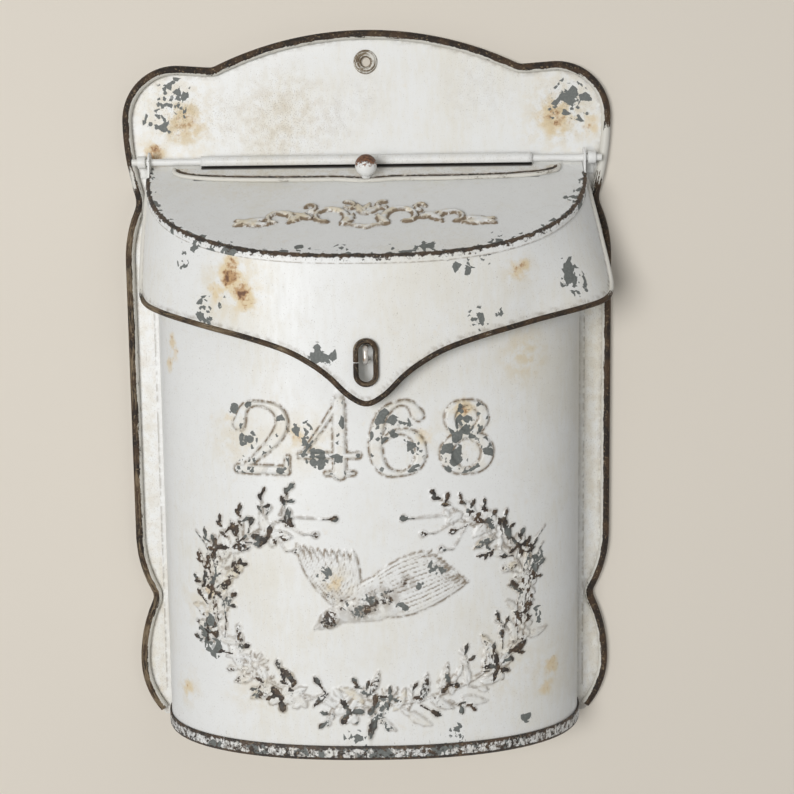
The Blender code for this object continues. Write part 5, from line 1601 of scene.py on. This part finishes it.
FLOOR_Z = -0.32
STAGE_HALF = 3.0
STAGE_GAP = 0.0006        # between the wall and the plate's back
WALL_COLOUR = (0.800, 0.740, 0.650)
FLOOR_COLOUR = (0.78, 0.725, 0.64)
FLOOR_GLOW = 0.26         # the lamps hang level with the box and hardly reach the floor
FLOOR_FADE = (0.5, 1.2)
FLOOR_FAR = (0.55, 0.50, 0.43)
GLOW_COLOUR = (0.80, 0.78, 0.74)
SKY_COLOUR = (1.0, 1.0, 0.99)
AMBIENT = 0.27


def stage_plane(name, corners, colour, far_tone=None):
    """A pale surface that only the camera sees, from its front, and that takes shadows. With
    a far tone it turns to that even tone away from the box, also right under a lamp."""
    mesh = bpy.data.meshes.new(name)
    mesh.from_pydata(corners, [], [(0, 1, 2, 3)])
    material, s, shown, place = new_material(name)
    base = s.blend(s.noise(place, 2.5, 2.0, 0.5), colour, tuple(0.93 * c for c in colour))
    if far_tone:
        from_box = s.add("ShaderNodeVectorMath", {0: place}, operation="LENGTH").outputs["Value"]
        far = s.mask(from_box, *FLOOR_FADE)
        base = s.blend(far, base, (0.0, 0.0, 0.0))
        glow = s.blend(far, tuple(FLOOR_GLOW * c for c in colour), far_tone)
        s.feed(shown, {"Emission Color": glow, "Emission Strength": 1.0, "Specular IOR Level": 0.0})
    s.feed(shown, {"Base Color": base, "Roughness": 0.9})
    clear = s.add("ShaderNodeBsdfTransparent").outputs[0]
    from_front = s.maths("SUBTRACT", s.add("ShaderNodeLightPath").outputs["Is Camera Ray"],
                         s.add("ShaderNodeNewGeometry").outputs["Backfacing"], clamp=True)
    lit = s.tree.nodes["Principled BSDF"].outputs[0]
    mix = s.add("ShaderNodeMixShader", {0: from_front, 1: clear, 2: lit})
    s.put(mix.outputs[0], s.tree.nodes["Material Output"].inputs["Surface"])
    mesh.materials.append(material)
    plane = in_scene(name, mesh)


def stage():
    h, y, z = STAGE_HALF, STAGE_GAP, FLOOR_Z
    stage_plane("room_wall", [(-h, y, z), (h, y, z), (h, y, h), (-h, y, h)], WALL_COLOUR)
    stage_plane("room_floor", [(-h, -h, z), (h, -h, z), (h, h, z), (-h, h, z)], FLOOR_COLOUR, FLOOR_FAR)


def sky():
    world = bpy.data.worlds.new("soft_room")
    bpy.context.scene.world = world
    world.use_nodes = True
    s = Shader(world.node_tree)
    base = s.tree.nodes["Background"]
    s.feed(base.inputs, {"Color": SKY_COLOUR, "Strength": AMBIENT})
    pale = s.add("ShaderNodeBackground", {"Color": GLOW_COLOUR, "Strength": 1.0}).outputs[0]
    path = s.add("ShaderNodeLightPath").outputs
    seen = s.maths("MAXIMUM", path["Is Camera Ray"], s.maths("MAXIMUM", path["Is Glossy Ray"],
                                                             path["Is Transmission Ray"]))
    mix = s.add("ShaderNodeMixShader", {0: seen, 1: base.outputs[0], 2: pale})
    s.put(mix.outputs[0], s.tree.nodes["World Output"].inputs["Surface"])


LAMPS = (("window_light", (-0.82, -2.13, 0.15), 1.1, 32.7), ("room_fill", (1.6, -1.4, 0.9), 1.8, 2.5),
         ("rear_fill", (-1.2, 2.0, 1.4), 1.6, 16.0))
LAMP_TARGET = Vector((0.0, 0.0, 0.0))


def lamps():
    for name, spot, size, power in LAMPS:
        light = bpy.data.lights.new(name, "AREA")
        light.shape = "DISK"
        light.size = size
        light.energy = power
        lamp = in_scene(name, light)
        lamp.location = spot
        lamp.visible_camera = False
        lamp.rotation_euler = (LAMP_TARGET - Vector(spot)).to_track_quat("-Z", "Y").to_euler()


CAMERA_PLACE = Vector((0.0183, -0.750, 0.100))
CAMERA_PITCH, CAMERA_YAW, CAMERA_ROLL = (math.radians(a) for a in (7.608, -0.2935, -0.6932))
SENSOR = 36.0
LENS = 63.02


def camera():
    lens = bpy.data.cameras.new("view")
    lens.sensor_fit = "AUTO"
    lens.sensor_width = SENSOR
    lens.lens = LENS
    forward = Vector((math.sin(CAMERA_YAW) * math.cos(CAMERA_PITCH),
                      math.cos(CAMERA_YAW) * math.cos(CAMERA_PITCH), -math.sin(CAMERA_PITCH)))
    level = Vector((math.cos(CAMERA_YAW), -math.sin(CAMERA_YAW), 0.0))
    upright = level.cross(forward)
    right = level * math.cos(CAMERA_ROLL) + upright * math.sin(CAMERA_ROLL)
    up = upright * math.cos(CAMERA_ROLL) - level * math.sin(CAMERA_ROLL)
    eye = in_scene("view", lens)
    eye.matrix_world = Matrix((
        (right.x, up.x, -forward.x, CAMERA_PLACE.x), (right.y, up.y, -forward.y, CAMERA_PLACE.y),
        (right.z, up.z, -forward.z, CAMERA_PLACE.z), (0.0, 0.0, 0.0, 1.0)))
    bpy.context.scene.camera = eye


# Putting it together

def place_on(body, piece, node=None):
    """A piece rides on a body, and stands for a solid where one is named."""
    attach(piece, body)
    if node:
        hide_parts(node)


face, rim = plate()
place_on("box", face, "back_plate")
place_on("box", rim, "back_plate")
place_on("box", eyelet(), "hanging_eyelet")
straps, rod = hinge_parts()
for strap, node in zip(straps, LUGS):
    place_on("box", strap, node)
place_on("box", rod, "hinge_rod")
place_on("box", box_wall(), "body_shell")
for side in (-1, 1):
    place_on("box", flange(side), "body_shell")
place_on("box", bottom_band(), "bottom_pan")
place_on("box", staple(), "lock_staple")
place_on("lid", lid_sheet(), "lid_top")
wall, hem = skirt()
place_on("lid", wall, "lid_skirt")
place_on("lid", hem, "lid_skirt")
for side in (-1, 1):
    place_on("lid", ear(side), "lid_skirt")
place_on("lid", lock_ring(), "lock_slot_ring")
for piece in flap():
    place_on("flap", piece, "slot_flap")
place_on("flap", knob(), "flap_knob")
screw = softened_copy("knob_screw", "knob_screw_head", STEEL, SCREW_BEVEL)
place_on("flap", screw, "knob_screw")
stage()
sky()
lamps()
camera()
bpy.context.scene.view_settings.view_transform = "Standard"
